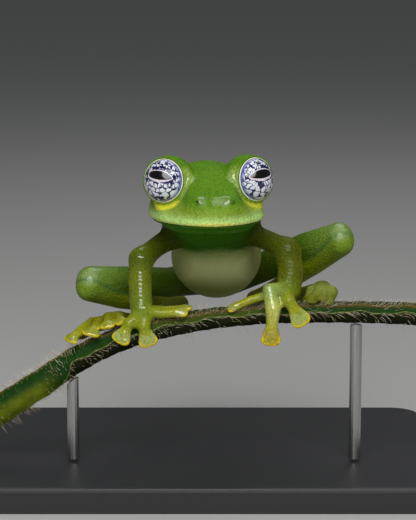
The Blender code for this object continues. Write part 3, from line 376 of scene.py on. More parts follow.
class Clay:
    """A solid held as signed distances on a grid, negative inside."""

    def __init__(self, low, high):
        self.low = np.asarray(low, float)
        self.count = np.ceil((np.asarray(high) - self.low) / VOXEL).astype(int) + 1
        self.field = np.full(self.count, FAR, np.float32)

    def window(self, low, high, margin):
        """The slices of a box of the grid and the coordinates in it."""
        first = np.clip(np.floor((low - margin - self.low) / VOXEL).astype(int), 0, self.count - 1)
        last = np.clip(np.ceil((high + margin - self.low) / VOXEL).astype(int) + 1, 1, self.count)
        slices = tuple(slice(a, b) for a, b in zip(first, last))
        lines = [(self.low[i] + VOXEL * np.arange(first[i], last[i])).astype(np.float32)
                 for i in range(3)]
        return slices, (lines[0][:, None, None], lines[1][None, :, None], lines[2][None, None, :])

    def add(self, form, blend):
        """Join a form, rounding the joint by blend."""
        low, high, distance = form
        slices, grid = self.window(low, high, blend + 2 * VOXEL)
        self.field[slices] = smooth_min(self.field[slices], distance(*grid), blend)

    def carve(self, form, clearance=0.0, blend=1e-6):
        """Take a form away, with a clearance round it, rounding the edge by blend."""
        low, high, distance = form
        slices, grid = self.window(low, high, clearance + blend + 2 * VOXEL)
        self.field[slices] = -smooth_min(-self.field[slices], distance(*grid) - clearance, blend)

    def corner_view(self, array, corner):
        """The values at one corner of every cell."""
        return array[tuple(slice(a, n - 1 + a) for a, n in zip(corner, array.shape))]

    def separate(self):
        """Fill the weakest empty corner of each cell that holds two pieces of surface."""
        torn = np.array([is_torn(code) for code in range(256)])
        for _ in range(SEPARATE_ROUNDS):
            inside = self.field < 0
            code = sum(self.corner_view(inside, corner).astype(np.uint8) << bit
                       for bit, corner in enumerate(CORNERS))
            cells = np.argwhere(torn[code])
            for cell in cells:
                empty = [place for place in (tuple(cell + corner) for corner in CORNERS)
                         if self.field[place] >= 0]
                if empty:
                    self.field[min(empty, key=lambda place: self.field[place])] = -VOXEL / 10
            if not len(cells):
                break

    def surface(self):
        """Points and quads of the zero surface: one point in each cell that it crosses."""
        self.separate()
        inside = self.field < 0
        full = sum(self.corner_view(inside, corner).astype(np.uint8) for corner in CORNERS)
        cells = np.argwhere((full > 0) & (full < 8))
        index = np.full(full.shape, -1, np.int32)
        index[tuple(cells.T)] = np.arange(len(cells))
        values = [self.field[tuple((cells + corner).T)] for corner in CORNERS]
        total = np.zeros((len(cells), 3))
        hits = np.zeros(len(cells))
        for a, low in enumerate(CORNERS):
            for b, high in enumerate(CORNERS):
                if a < b and sum(np.subtract(high, low)) == 1 and min(np.subtract(high, low)) == 0:
                    crossed = (values[a] < 0) != (values[b] < 0)
                    share = values[a] / np.where(crossed, values[a] - values[b], 1.0)
                    place = low + share[:, None] * np.subtract(high, low)
                    total += np.where(crossed[:, None], place, 0.0)
                    hits += crossed
        points = self.low + VOXEL * (cells + total / hits[:, None])
        quads = []
        for axis in range(3):
            inner = [slice(1, -1)] * 3
            inner[axis] = slice(0, -1)
            above = list(inner)
            above[axis] = slice(1, None)
            here, there = inside[tuple(inner)], inside[tuple(above)]
            place = np.argwhere(here != there)
            forward = here[here != there]
            offset = np.ones(3, int)
            offset[axis] = 0
            place += offset
            step_a, step_b = np.roll((1, 0, 0), axis + 1), np.roll((1, 0, 0), axis + 2)
            around = [place - step_a - step_b, place - step_b, place, place - step_a]
            face = np.stack([index[tuple(cell.T)] for cell in around], axis=1)
            face[~forward] = face[~forward][:, ::-1]
            quads.append(face)
        return points, np.concatenate(quads)


def largest_piece(points, quads):
    """The largest connected piece of a surface, without crumbs beside it."""
    labels = np.arange(len(points))
    while True:
        lowest = labels[quads].min(axis=1)
        joined = labels.copy()
        np.minimum.at(joined, quads, lowest[:, None])
        joined = joined[joined]
        if np.array_equal(joined, labels):
            break
        labels = joined
    kept = labels == np.argmax(np.bincount(labels))
    index = np.cumsum(kept) - 1
    return points[kept], index[quads[kept[quads[:, 0]]]]


def pitched(pitch):
    """Axes of a form whose rear end is turned down by pitch degrees."""
    angle = math.radians(pitch)
    return ((1.0, 0.0, 0.0), (0.0, math.cos(angle), -math.sin(angle)),
            (0.0, math.sin(angle), math.cos(angle)))


HEAD_AXES = np.array(Matrix.Rotation(HEAD_YAW, 3, "Z") @ Matrix.Rotation(HEAD_PITCH, 3, "X")).T


def head_point(x, y, z):
    """A point of the head's frame, whose origin is midway between the eyes."""
    return HEAD_PLACE + np.array((x, y, z)) @ HEAD_AXES


def gaze(side, outward, upward):
    """A direction from an eye, in the frog's frame."""
    flat = math.cos(upward)
    return np.array((side * math.sin(outward) * flat, -math.cos(outward) * flat, math.sin(upward))) @ HEAD_AXES


def bulge_centre(side):
    """The middle of the swelling that holds an eye."""
    return (head_point(side * (EYE_SPREAD - BULGE_INWARD), 0.0, 0.0)
            - BULGE_BACK * gaze(side, EYE_OUTWARD, EYE_UPWARD))


def nostril_point(side, outward, back, up):
    """A point beside a nostril, in the frog's frame."""
    x, y, z = NOSTRIL + (outward, back, up)
    return head_point(side * x, y, z)


def profile_at(y, profile):
    """Height of a side profile at places along the head."""
    return sum(np.interp(y + step, *zip(*profile)) for step in PROFILE_STEPS) / len(PROFILE_STEPS)


def head_level(hx, hy, hz):
    """A level that is one on the skull and jaws: sections across the head, widest at the mouth.

    The powers set how fast the head narrows ahead and behind, and how round its sections are.
    """
    ahead = np.clip((HEAD_WIDEST - hy) / SNOUT_LENGTH, 0.0, 1.3)
    behind = np.clip((hy - HEAD_WIDEST) / NAPE_LENGTH, 0.0, 1.3)
    outline = ahead ** 2.9 + behind ** 2.2
    middle = profile_at(hy, MOUTH_LINE)
    rise = np.where(hz > middle, profile_at(hy, HEAD_TOP) - middle, middle - profile_at(hy, THROAT))
    power = np.where(hz > middle, 2.0, 2.6)
    outline = outline + JAW_INSET * smoothstep(middle - hz, 0.0, JAW_STEP) * smoothstep(hy, 5.5, 1.5)
    height = (np.abs(hz - middle) / np.maximum(rise, 0.3)) ** power
    plan = outline + (hx / HEAD_HALF_WIDTH) ** 2
    blunt = 1.0 + 4.0 * ahead ** 3
    return (plan ** blunt + height ** blunt) ** (0.5 / blunt)


def head_form():
    """Distance to the skull and jaws."""
    def distance(x, y, z):
        return as_distance(head_level(*in_axes(x, y, z, HEAD_PLACE, HEAD_AXES)))

    return HEAD_PLACE - HEAD_REACH, HEAD_PLACE + HEAD_REACH, distance


def shape_mouth(clay):
    """Swell the upper lip and carve the line between the lips."""
    slices, grid = clay.window(HEAD_PLACE - HEAD_REACH, HEAD_PLACE + HEAD_REACH, 0.0)
    forward, up = in_axes(*grid, HEAD_PLACE, HEAD_AXES)[1:]
    above = up - profile_at(forward, MOUTH_LINE)
    front = np.clip((MOUTH_CORNER - forward) / CORNER_FADE, 0.0, 1.0)
    field = clay.field[slices] - LIP_SWELL * front * np.exp(-((above - LIP_HEIGHT) / LIP_SPREAD) ** 2)
    groove = np.maximum(np.abs(above) - MOUTH_GAPE * front, -(field + MOUTH_DEPTH))
    clay.field[slices] = np.maximum(field, -np.where(front > 0, groove, FAR))


def pad_place(chain, half_width, half_length, facing):
    """A digit pad's centre, half sizes and axes: across, along and through it."""
    along = unit(np.subtract(chain[-1][0], chain[-2][0]))
    across = unit(np.cross(along, facing))
    centre = np.asarray(chain[-1][0]) + along * half_length * 0.6
    return centre, half_width, half_length, (across, along, np.cross(across, along))


def add_digits(clay, digits, webs, reach):
    """Fingers or toes with their pads, and webs between them that reach one of each digit's points."""
    for chain, *shape in digits:
        clay.add(swept(chain), DIGIT_BLEND)
        clay.add(pad(*pad_place(chain, *shape)), DIGIT_BLEND)
    for first, second in webs:
        a, b = digits[first][0], digits[second][0]
        clay.add(web((a[0][0], a[reach][0], b[reach][0]), WEB_THICK), DIGIT_BLEND)


def add_head(clay):
    """The head with its eye bulges, lids, mouth and nostrils."""
    clay.add(head_form(), HEAD_BLEND)
    eyes = [(side, head_point(side * EYE_SPREAD, 0.0, 0.0), gaze(side, EYE_OUTWARD, EYE_UPWARD))
            for name, side in SIDES]
    for side, eye, axis in eyes:
        clay.add(ball(bulge_centre(side), BULGE_RADIUS), BULGE_BLEND)
        clay.add(ball(nostril_point(side, -0.15, 0.3, -0.22), NOSTRIL_SWELL), LIMB_BLEND)
    shape_mouth(clay)
    for side, eye, axis in eyes:
        clay.carve(dish(eye + axis * LID_CUT, axis, LID_RADIUS + LID_THICK, BULGE_RADIUS), 0.0, DISH_BLEND)
        clay.add(ring(eye + axis * LID_SEAT, axis, LID_RADIUS, LID_THICK), LID_BLEND)
        clay.carve(ball(eye, EYE_RADIUS))
        mouth = nostril_point(side, 0.2, -0.4, 0.0)
        inner = nostril_point(side, 0.0, 0.2, 0.05)
        clay.carve(round_cone(mouth, inner, NOSTRIL_RADIUS, NOSTRIL_RADIUS))


def body_clay():
    """The whole frog as one solid."""
    clay = Clay((-15.5, -9.0, -11.0), (16.5, 22.5, 12.0))
    for centre, radii, pitch in (CHEST, NAPE, BELLY, PELVIS):
        clay.add(ellipsoid(centre, radii, pitched(pitch)), TRUNK_BLEND)
    clay.add(ellipsoid(VENT[0], VENT[1], pitched(VENT[2])), LIMB_BLEND)
    clay.add(ellipsoid(YOKE[0], YOKE[1], pitched(YOKE[2])), YOKE_BLEND)
    clay.add(round_cone(*YOKE_FOLD), YOKE_BLEND)
    add_head(clay)
    for chain in (ARM_RIGHT, ARM_LEFT, FOREARM_RIGHT, FOREARM_LEFT, THIGH_RIGHT, THIGH_LEFT,
                  SHANK_RIGHT, SHANK_LEFT, TARSUS_RIGHT, TARSUS_LEFT):
        clay.add(swept(chain), LIMB_BLEND)
    for corners in ARMPITS:
        clay.add(web(corners, ARMPIT_THICK), YOKE_BLEND)
    for fingers, toes in ((FINGERS_RIGHT, TOES_RIGHT), (FINGERS_LEFT, TOES_LEFT)):
        add_digits(clay, fingers, (FINGER_WEB,), -2)
        add_digits(clay, toes, TOE_WEBS, -1)
    line = stem_line(1.0)
    for start, end in zip(line, line[1:]):
        clay.carve(round_cone(start, end, stem_radius(start[0]), stem_radius(end[0])), STEM_CLEARANCE)
    return clay


def stem_radius(x):
    """The stem's radius at a place along it."""
    return np.interp(x, *zip(*STEM_RADII))


def stem_line(step):
    """Points along the stem, on a smooth curve through its route."""
    route = np.array(STEM_ROUTE)
    knots = np.concatenate((route[:1] * 2 - route[1:2], route, route[-1:] * 2 - route[-2:-1]))
    points = []
    for i in range(1, len(knots) - 2):
        p0, p1, p2, p3 = knots[i - 1:i + 3]
        count = max(1, round(np.linalg.norm(p2 - p1) / step))
        for t in np.arange(count) / count:
            point = 0.5 * (2 * p1 + (p2 - p0) * t + (2 * p0 - 5 * p1 + 4 * p2 - p3) * t ** 2
                           + (3 * p1 - p0 - 3 * p2 + p3) * t ** 3)
            points.append((point[0], 0.0, point[1]))
    points.append((route[-1][0], 0.0, route[-1][1]))
    return np.array(points)


# Colours of the skin
GREEN = srgb(96, 142, 18)
CROWN = srgb(88, 136, 16)
CHEEK = srgb(156, 180, 66)
LIP = srgb(194, 228, 138)
LIP_EDGE = srgb(236, 230, 120)
# The throat's own green, darkened as painted shade under the head
THROAT_GREEN_SHADED = srgb(62, 116, 12)
CRESCENT = srgb(234, 228, 64)
CRESCENT_SHARE = {-1: 1.0, 1: 0.72}
# Paler green on the lids towards the nose: a painted highlight
LID_PALE_HIGHLIGHT = srgb(186, 206, 110)
# Darker green round each nostril: painted shade of the opening
NOSTRIL_SHADE_GREEN = srgb(60, 92, 22)
# Pale patches on the wet snout: painted highlight
SNOUT_PALE_HIGHLIGHT = srgb(214, 224, 178)
BELLY_WHITE = srgb(214, 218, 152)
BELLY_CREASE = ((1.8, 0.0, -1.9), (5.0, 0.0, 1.1))
BELLY_SHADE = srgb(138, 146, 70)
CHEST_SHADE = srgb(112, 142, 46)
FLANK = srgb(112, 136, 46)
# Armpit fold tips by side: bluish green on the right, a pale painted highlight on the left
ARMPIT_TIPS = {-1: srgb(90, 170, 110), 1: srgb(190, 224, 170)}
# Upper arms from shoulder to elbow: their olive, darkened as painted shade under the head
ARM_COLOURS_SHADED = [srgb(46, 70, 2), srgb(68, 78, 2), srgb(84, 94, 8)]
# Forearms by side: the right one as lit, the left one darker as painted shade
FOREARM_LIT_AND_SHADED_COLOURS = {-1: [srgb(100, 118, 20), srgb(122, 130, 26), srgb(122, 140, 34)],
                   1: [srgb(82, 92, 8), srgb(96, 102, 10), srgb(108, 124, 20)]}
FINGER_COLOURS = [srgb(120, 138, 36), srgb(150, 158, 28), srgb(174, 174, 34)]
# Middle of a pad: its own pale colour, brightened as a painted highlight
PAD_MIDDLE_AND_HIGHLIGHT = srgb(174, 182, 96)
PAD_EDGE = srgb(250, 216, 18)
KNEE = srgb(124, 152, 64)
# Dark bluish green in the fold between thigh and shank: painted shade
KNEE_FOLD_SHADE = srgb(36, 104, 62)
# Pale cap on each knee: partly the knee's paler skin, partly a painted highlight
KNEE_PALE_AND_HIGHLIGHT = srgb(186, 204, 160)
KNEE_CAP = (0.0, -1.2, 0.4)      # the pale cap and its painted highlight, from the knee
# Yellow on the arms' sides: partly their own yellow edge, partly painted glow of light through the flesh
LIMB_EDGE_AND_GLOW = srgb(140, 136, 8)
THIGH_COLOURS = [srgb(58, 74, 4), srgb(68, 90, 6), srgb(78, 108, 10), KNEE]
SHANK_COLOURS = [srgb(124, 150, 44), srgb(140, 154, 4), srgb(146, 150, 4), srgb(134, 138, 8)]
TARSUS_COLOURS = [srgb(116, 122, 8), srgb(110, 116, 6), srgb(104, 108, 4), srgb(84, 90, 2)]
# The long finger, root to tip: the pale third colour is a painted highlight down its middle
LONG_FINGER_COLOURS_AND_HIGHLIGHT = [srgb(132, 154, 60), srgb(158, 178, 92), srgb(204, 206, 106), srgb(194, 182, 56)]
LONG_FINGER_PAD = srgb(184, 168, 48)
TOE_COLOURS = {-1: [srgb(74, 80, 0), srgb(124, 124, 4), srgb(160, 158, 18)],
               1: [srgb(104, 110, 16), srgb(140, 148, 68), srgb(114, 118, 24)]}
TOE_PAD = srgb(160, 164, 44)
PAINT_BLEND = 0.22
# Places of the snout's glossy patches, which are also painted pale as highlights
WET_SNOUT_HIGHLIGHTS = ((-1, 0.4, 0.6), (1, 1.5, 0.65), (1, 0.75, 0.75))   # side, inward from the nostril, reach


class Paint:
    """Colours laid on points by nearness to the forms they belong to."""

    def __init__(self, points):
        self.grid = points.T
        self.total = np.zeros(points.shape)
        self.weight = np.zeros(len(points))

    def lay(self, distance, colour):
        """Lay a colour, fading with distance from its form."""
        share = np.exp(-np.clip(distance, -0.3, 4.0) / PAINT_BLEND)
        self.total += share[:, None] * colour
        self.weight += share

    def chain(self, chain, colours):
        """Lay a colour for each point of a chain, blended along it."""
        for i, ((start, start_radius), (end, end_radius)) in enumerate(zip(chain, chain[1:])):
            first, second = colours[min(i, len(colours) - 1)], colours[min(i + 1, len(colours) - 1)]
            along, away = place_on_line(*self.grid, start, end)
            radius = start_radius + (end_radius - start_radius) * along
            self.lay(away - radius, first + along[:, None] * (second - first))

    def colours(self):
        """The blended colours."""
        return self.total / self.weight[:, None]


def mix(first, second, share):
    """Colours from first to second by a share for each point."""
    return first + np.asarray(share)[..., None] * (second - first)


def head_colours(points):
    """Colours of the head by place: green above, paler on cheek and lip, a yellow crescent below each eye, painted
    highlights on the lids and snout, and painted shade under the jaw and round the nostrils.
    """
    hx, hy, hz = in_axes(*points.T, HEAD_PLACE, HEAD_AXES)
    above = hz - profile_at(hy, MOUTH_LINE)
    colour = mix(GREEN, CROWN, smoothstep(hz, 0.5, 2.5))
    colour = mix(colour, CHEEK, 0.85 * smoothstep(hz, -0.9, -2.2) * smoothstep(hy, 5.0, 0.0))
    colour = mix(colour, LIP, smoothstep(above, 1.35, 0.35) * smoothstep(hy, 5.0, 2.0))
    middle = smoothstep(np.abs(hx), 3.5, 0.5)
    edge = smoothstep(above, 0.34 + 0.2 * middle, 0.16 + 0.1 * middle) * smoothstep(hy, 4.5, 1.0)
    colour = mix(colour, LIP_EDGE, edge * (0.5 + 0.5 * middle))
    # Below the mouth line: the darker throat green, partly painted shade under the jaw
    colour = mix(colour, THROAT_GREEN_SHADED, smoothstep(above, 0.05, -0.05))
    # Painted highlight: pale patches on the snout beside the nostrils
    for side, inward, reach in WET_SNOUT_HIGHLIGHTS:
        snout = np.linalg.norm(points - nostril_point(side, -inward, 0.0, -0.1), axis=1)
        colour = mix(colour, SNOUT_PALE_HIGHLIGHT, 0.3 * smoothstep(snout, 1.1 * reach, 0.2 * reach))
    for name, side in SIDES:
        eye = head_point(side * EYE_SPREAD, 0.0, 0.0)
        axis = gaze(side, EYE_OUTWARD, EYE_UPWARD)
        up, across = up_and_across(*points.T, eye, axis)
        down = in_axes(*points.T, eye, [(0.0, 0.0, -1.0)])[0]
        band = smoothstep(across, 2.3, 2.46) * smoothstep(across, 3.0, 2.7) * smoothstep(up, -0.9, 0.2)
        colour = mix(colour, CRESCENT, CRESCENT_SHARE[side] * band * smoothstep(down, 1.3, 2.2))
        # Painted highlight: paler green on the lid margins towards the nose
        margin = smoothstep(across, 2.15, 2.3) * smoothstep(across, 3.0, 2.6) * smoothstep(up, -0.6, 0.2)
        colour = mix(colour, LID_PALE_HIGHLIGHT, 0.6 * margin * smoothstep(side * hx, 3.4, 2.6) * smoothstep(np.abs(hz), 1.9, 1.0))
        # Painted shade round each nostril opening
        nostril = np.linalg.norm(points - nostril_point(side, 0.06, -0.3, 0.03), axis=1)
        colour = mix(colour, NOSTRIL_SHADE_GREEN, 0.7 * smoothstep(nostril, 0.4, 0.15))
    return colour


def trunk_colours(points, normals):
    """Colours of the trunk: green above, pale on the belly, and a darker chest green that is partly painted shade
    under the head.
    """
    x, y, z = points.T
    upward = normals @ np.array(pitched(BELLY[2])[2])
    yoke = np.minimum(ellipsoid(YOKE[0], YOKE[1], pitched(YOKE[2]))[2](x, y, z), round_cone(*YOKE_FOLD)[2](x, y, z))
    colour = mix(GREEN, FLANK, smoothstep(upward, 0.7, 0.1))
    chest = np.maximum(smoothstep(yoke, 0.75, 0.1), smoothstep(z, 1.0, 1.7))
    belly = mix(BELLY_WHITE, BELLY_SHADE, np.maximum(smoothstep(z, -2.0, -4.6),
                                                     0.65 * smoothstep(np.abs(x - BELLY[0][0]), 1.8, 3.8)))
    along, away = place_on_line(x, 0.0 * y, z, *BELLY_CREASE)
    belly = mix(belly, BELLY_SHADE, 0.6 * along * smoothstep(away, 0.7, 0.0))
    belly = mix(belly, CHEST_SHADE, 0.7 * smoothstep(yoke, 2.2, 0.2))
    colour = mix(colour, belly, smoothstep(upward, 0.3, -0.3))
    # The chest under the head takes the darker throat green, partly painted shade
    return mix(colour, THROAT_GREEN_SHADED, chest * smoothstep(y, 6.5, 4.5) * smoothstep(upward, 0.6, 0.1))


def skin_colours(points, normals):
    """Colour of the skin at each point."""
    paint = Paint(points)
    head = in_axes(*points.T, HEAD_PLACE, HEAD_AXES)
    eyes = [np.linalg.norm(points - head_point(side * EYE_SPREAD, 0.0, 0.0), axis=1) - BULGE_RADIUS
            for name, side in SIDES]
    nearest = np.minimum(5.0 * (head_level(*head) - 1.0), np.minimum(*eyes))
    paint.lay(nearest, head_colours(points))
    trunk = [ellipsoid(centre, radii, pitched(pitch))[2](*points.T)
             for centre, radii, pitch in (CHEST, NAPE, BELLY, PELVIS, VENT)]
    paint.lay(np.min(trunk, axis=0), trunk_colours(points, normals))
    # The upper arms and the left forearm carry painted shade in their colours
    for chains, colours in (((ARM_RIGHT, ARM_LEFT), ARM_COLOURS_SHADED), ((FOREARM_RIGHT,), FOREARM_LIT_AND_SHADED_COLOURS[-1]),
                            ((FOREARM_LEFT,), FOREARM_LIT_AND_SHADED_COLOURS[1]), ((THIGH_RIGHT, THIGH_LEFT), THIGH_COLOURS),
                            ((SHANK_RIGHT, SHANK_LEFT), SHANK_COLOURS),
                            ((TARSUS_RIGHT, TARSUS_LEFT), TARSUS_COLOURS)):
        for chain in chains:
            paint.chain(chain, colours)
    for digits, colours in ((FINGERS_RIGHT + FINGERS_LEFT[:2] + FINGERS_LEFT[3:], FINGER_COLOURS),
                            (FINGERS_LEFT[2:3], LONG_FINGER_COLOURS_AND_HIGHLIGHT), (TOES_RIGHT, TOE_COLOURS[-1]),
                            (TOES_LEFT, TOE_COLOURS[1])):
        for chain, *shape in digits:
            paint.chain(chain, colours)
    colour = paint.colours()
    arms = np.min([swept(chain)[2](*points.T) for chain in (ARM_RIGHT, ARM_LEFT, FOREARM_RIGHT, FOREARM_LEFT)], axis=0)
    # Sides of the arms: their own yellow edge plus painted glow
    sideways = smoothstep(np.abs(normals[:, 1]), 0.75, 0.1) * smoothstep(points[:, 2], 1.6, 0.4)
    colour = mix(colour, LIMB_EDGE_AND_GLOW, 0.6 * sideways * smoothstep(arms, 0.4, 0.1))
    for thigh in (THIGH_RIGHT, THIGH_LEFT):
        # Painted highlight, with the knee's paler skin, on each knee cap
        cap = np.linalg.norm(points - np.array(thigh[-1][0]) - KNEE_CAP, axis=1)
        colour = mix(colour, KNEE_PALE_AND_HIGHLIGHT, 0.34 * smoothstep(cap, 1.2, 0.5))
    for side, thigh, shank, corners in ((-1, THIGH_RIGHT, SHANK_RIGHT, ARMPITS[0]), (1, THIGH_LEFT, SHANK_LEFT, ARMPITS[1])):
        # Painted shade along the fold between thigh and shank
        off_fold = swept(thigh)[2](*points.T) - swept(shank)[2](*points.T)
        knee = np.linalg.norm(points - thigh[-1][0], axis=1)
        fold = np.exp(-(off_fold / 0.16) ** 2) * smoothstep(knee, 9.0, 3.0) * smoothstep(knee, 1.2, 1.7)
        colour = mix(colour, KNEE_FOLD_SHADE, 0.55 * fold)
        # The armpit tips; the left one carries a painted highlight
        tip = np.linalg.norm(points - corners[1], axis=1)
        colour = mix(colour, ARMPIT_TIPS[side], 0.8 * smoothstep(tip, 0.5, 0.25))
    # Pads: pale middles partly brightened as painted highlight, yellow edges
    for chain, *shape in FINGERS_RIGHT + FINGERS_LEFT + TOES_RIGHT:
        centre, half_width, half_length, axes = pad_place(chain, *shape)
        across, along, through = in_axes(*points.T, centre, axes)
        level = pad_level(*points.T, centre, half_width, half_length, axes)
        flat = ((np.abs(across) / half_width) ** PAD_POWER + np.abs(along / half_length) ** PAD_POWER) ** (1 / PAD_POWER)
        near = smoothstep(level, 1.5, 1.1) * smoothstep(along / half_length, -0.9, -0.3)
        middle = TOE_PAD if chain[0][0][1] > 1.0 else LONG_FINGER_PAD if len(chain) > 3 and half_width > 0.9 else PAD_MIDDLE_AND_HIGHLIGHT
        edge = smoothstep(flat, 0.66, 0.95) * smoothstep(along / half_length, -0.4, 0.4)
        pad_colour = mix(middle, PAD_EDGE, (0.65 if middle is TOE_PAD else 1.0) * edge)
        colour = colour + near[:, None] * (pad_colour - colour)
    return colour


def in_model(points):
    """Points of the frog's frame, moved to the model's frame, in metres."""
    return (np.asarray(points, float) + PLACE) * MM


def new_piece(name, points, faces, material):
    """A smooth mesh object from points and faces in the model's frame, in metres."""
    mesh = bpy.data.meshes.new(name)
    mesh.vertices.add(len(points))
    mesh.vertices.foreach_set("co", np.asarray(points, np.float32).ravel())
    sizes = np.array([len(face) for face in faces]) if isinstance(faces, list) else np.full(len(faces), faces.shape[1])
    loops = np.concatenate([np.asarray(face) for face in faces]) if isinstance(faces, list) else faces.ravel()
    mesh.loops.add(len(loops))
    mesh.loops.foreach_set("vertex_index", loops.astype(np.int32))
    mesh.polygons.add(len(sizes))
    mesh.polygons.foreach_set("loop_start", np.concatenate(((0,), np.cumsum(sizes)[:-1])).astype(np.int32))
    mesh.update(calc_edges=True)
    mesh.shade_smooth()
    mesh.materials.append(material)
    obj = bpy.data.objects.new(name, mesh)
    bpy.context.scene.collection.objects.link(obj)
    return obj


def point_attribute(mesh, name, kind, values):
    """Store a value for each point of a mesh."""
    attribute = mesh.attributes.new(name, kind, "POINT")
    field = {"FLOAT": "value", "FLOAT_VECTOR": "vector", "FLOAT_COLOR": "color"}[kind]
    attribute.data.foreach_set(field, np.asarray(values, np.float32).ravel())


class Shader:
    """A material's nodes, with short calls to add and link them."""

    def __init__(self, name, **sockets):
        self.material = bpy.data.materials.new(name)
        self.material.use_nodes = True
        self.tree = self.material.node_tree
        self.surface = self.tree.nodes["Principled BSDF"]
        for socket, value in sockets.items():
            self.surface.inputs[socket.replace("_", " ")].default_value = value

    def node(self, kind, inputs=(), **settings):
        """A node, its settings, and its inputs by index: sockets are linked, anything else is a value."""
        made = self.tree.nodes.new(kind)
        for key, value in settings.items():
            setattr(made, key, value)
        for socket, value in dict(inputs).items():
            self.put(made.inputs[socket], value)
        return made

    def put(self, socket, value):
        """Link a socket, or set its value."""
        if isinstance(value, bpy.types.NodeSocket):
            self.tree.links.new(value, socket)
        else:
            socket.default_value = value

    def attribute(self, name, output="Fac"):
        """A value stored on the mesh."""
        return self.node("ShaderNodeAttribute", attribute_name=name).outputs[output]

    def math(self, operation, a, b=0.0, clamp=False):
        """A sum on one or two values."""
        return self.node("ShaderNodeMath", {0: a, 1: b}, operation=operation, use_clamp=clamp).outputs[0]

    def ramp(self, value, low, high, to_low=0.0, to_high=1.0):
        """A value eased from one range to another."""
        made = self.node("ShaderNodeMapRange", {0: value, 1: low, 2: high, 3: to_low, 4: to_high},
                         interpolation_type="SMOOTHSTEP")
        return made.outputs[0]

    def mix(self, share, first, second, blend="MIX"):
        """Two colours mixed by a share."""
        made = self.node("ShaderNodeMix", {0: share, 6: colour4(first), 7: colour4(second)},
                         data_type="RGBA", blend_type=blend)
        return made.outputs[2]

    def noise(self, vector, scale, detail=2.0, roughness=0.5):
        """Noise from 0 to 1."""
        inputs = {"Vector": vector, "Scale": scale, "Detail": detail, "Roughness": roughness}
        return self.node("ShaderNodeTexNoise", inputs).outputs["Fac"]

    def place(self):
        """The place on the object, in the model's frame."""
        return self.node("ShaderNodeTexCoord").outputs["Object"]

    def bump(self, height, distance, strength=1.0, under=None):
        """A normal bent by a height, over another normal."""
        inputs = {"Height": height, "Distance": distance, "Strength": strength}
        if under is not None:
            inputs["Normal"] = under
        return self.node("ShaderNodeBump", inputs).outputs[0]


def colour4(value):
    """A colour with its alpha, or a socket as it is."""
    return value if isinstance(value, bpy.types.NodeSocket) else (*value, 1.0)


def skin_material():
    """Moist granular skin over translucent flesh."""
    shader = Shader("skin", Subsurface_Weight=0.35, Subsurface_Scale=0.7 * MM, Subsurface_Radius=(0.8, 1.0, 0.3),
                    Coat_Roughness=0.11, Coat_IOR=1.8, Specular_IOR_Level=0.1)
    place = shader.place()
    gloss = shader.attribute("gloss")
    shader.put(shader.surface.inputs["Roughness"], shader.ramp(gloss, 0.0, 1.0, 0.55, 0.3))
    shader.put(shader.surface.inputs["Coat Weight"], shader.ramp(gloss, 0.0, 1.0, 0.0, 1.0))
    base = shader.attribute("skin_colour", "Color")
    patches = shader.noise(place, 800.0, 3.0)
    grain = shader.attribute("grain")
    share = shader.math("MULTIPLY", grain, shader.ramp(patches, 0.35, 0.7, 0.0, 0.3))
    base = shader.mix(share, base, (0.6, 0.7, 0.45), "MULTIPLY")
    streaks = shader.node("ShaderNodeMapping", {"Vector": place, "Scale": (3200.0, 3200.0, 700.0)}).outputs[0]
    share = shader.math("MULTIPLY", grain, shader.ramp(shader.noise(streaks, 1.0, 2.0), 0.4, 0.65, 0.0, 0.22))
    base = shader.mix(share, base, (0.62, 0.68, 0.4), "MULTIPLY")
    granules = shader.node("ShaderNodeTexVoronoi", {"Vector": place, "Scale": 4300.0, "Smoothness": 0.4},
                           feature="SMOOTH_F1").outputs["Distance"]
    share = shader.math("MULTIPLY", grain, shader.ramp(granules, 0.35, 0.75, 0.0, 0.4))
    base = shader.mix(share, base, (0.5, 0.62, 0.35), "MULTIPLY")
    spots = shader.node("ShaderNodeTexVoronoi", {"Vector": place, "Scale": 2600.0}).outputs["Distance"]
    spotted = shader.math("MULTIPLY", shader.ramp(spots, 0.26, 0.14), shader.attribute("spots"))
    base = shader.mix(spotted, base, srgb(72, 58, 14))
    shader.put(shader.surface.inputs["Base Color"], base)
    normal = shader.bump(shader.math("MULTIPLY", grain, shader.math("SUBTRACT", 1.0, granules)), 0.09 * MM, 0.9)
    normal = shader.bump(shader.math("MULTIPLY", grain, shader.noise(place, 1500.0, 3.0)), 0.05 * MM, 0.6, normal)
    shader.put(shader.surface.inputs["Normal"], normal)
    return shader.material


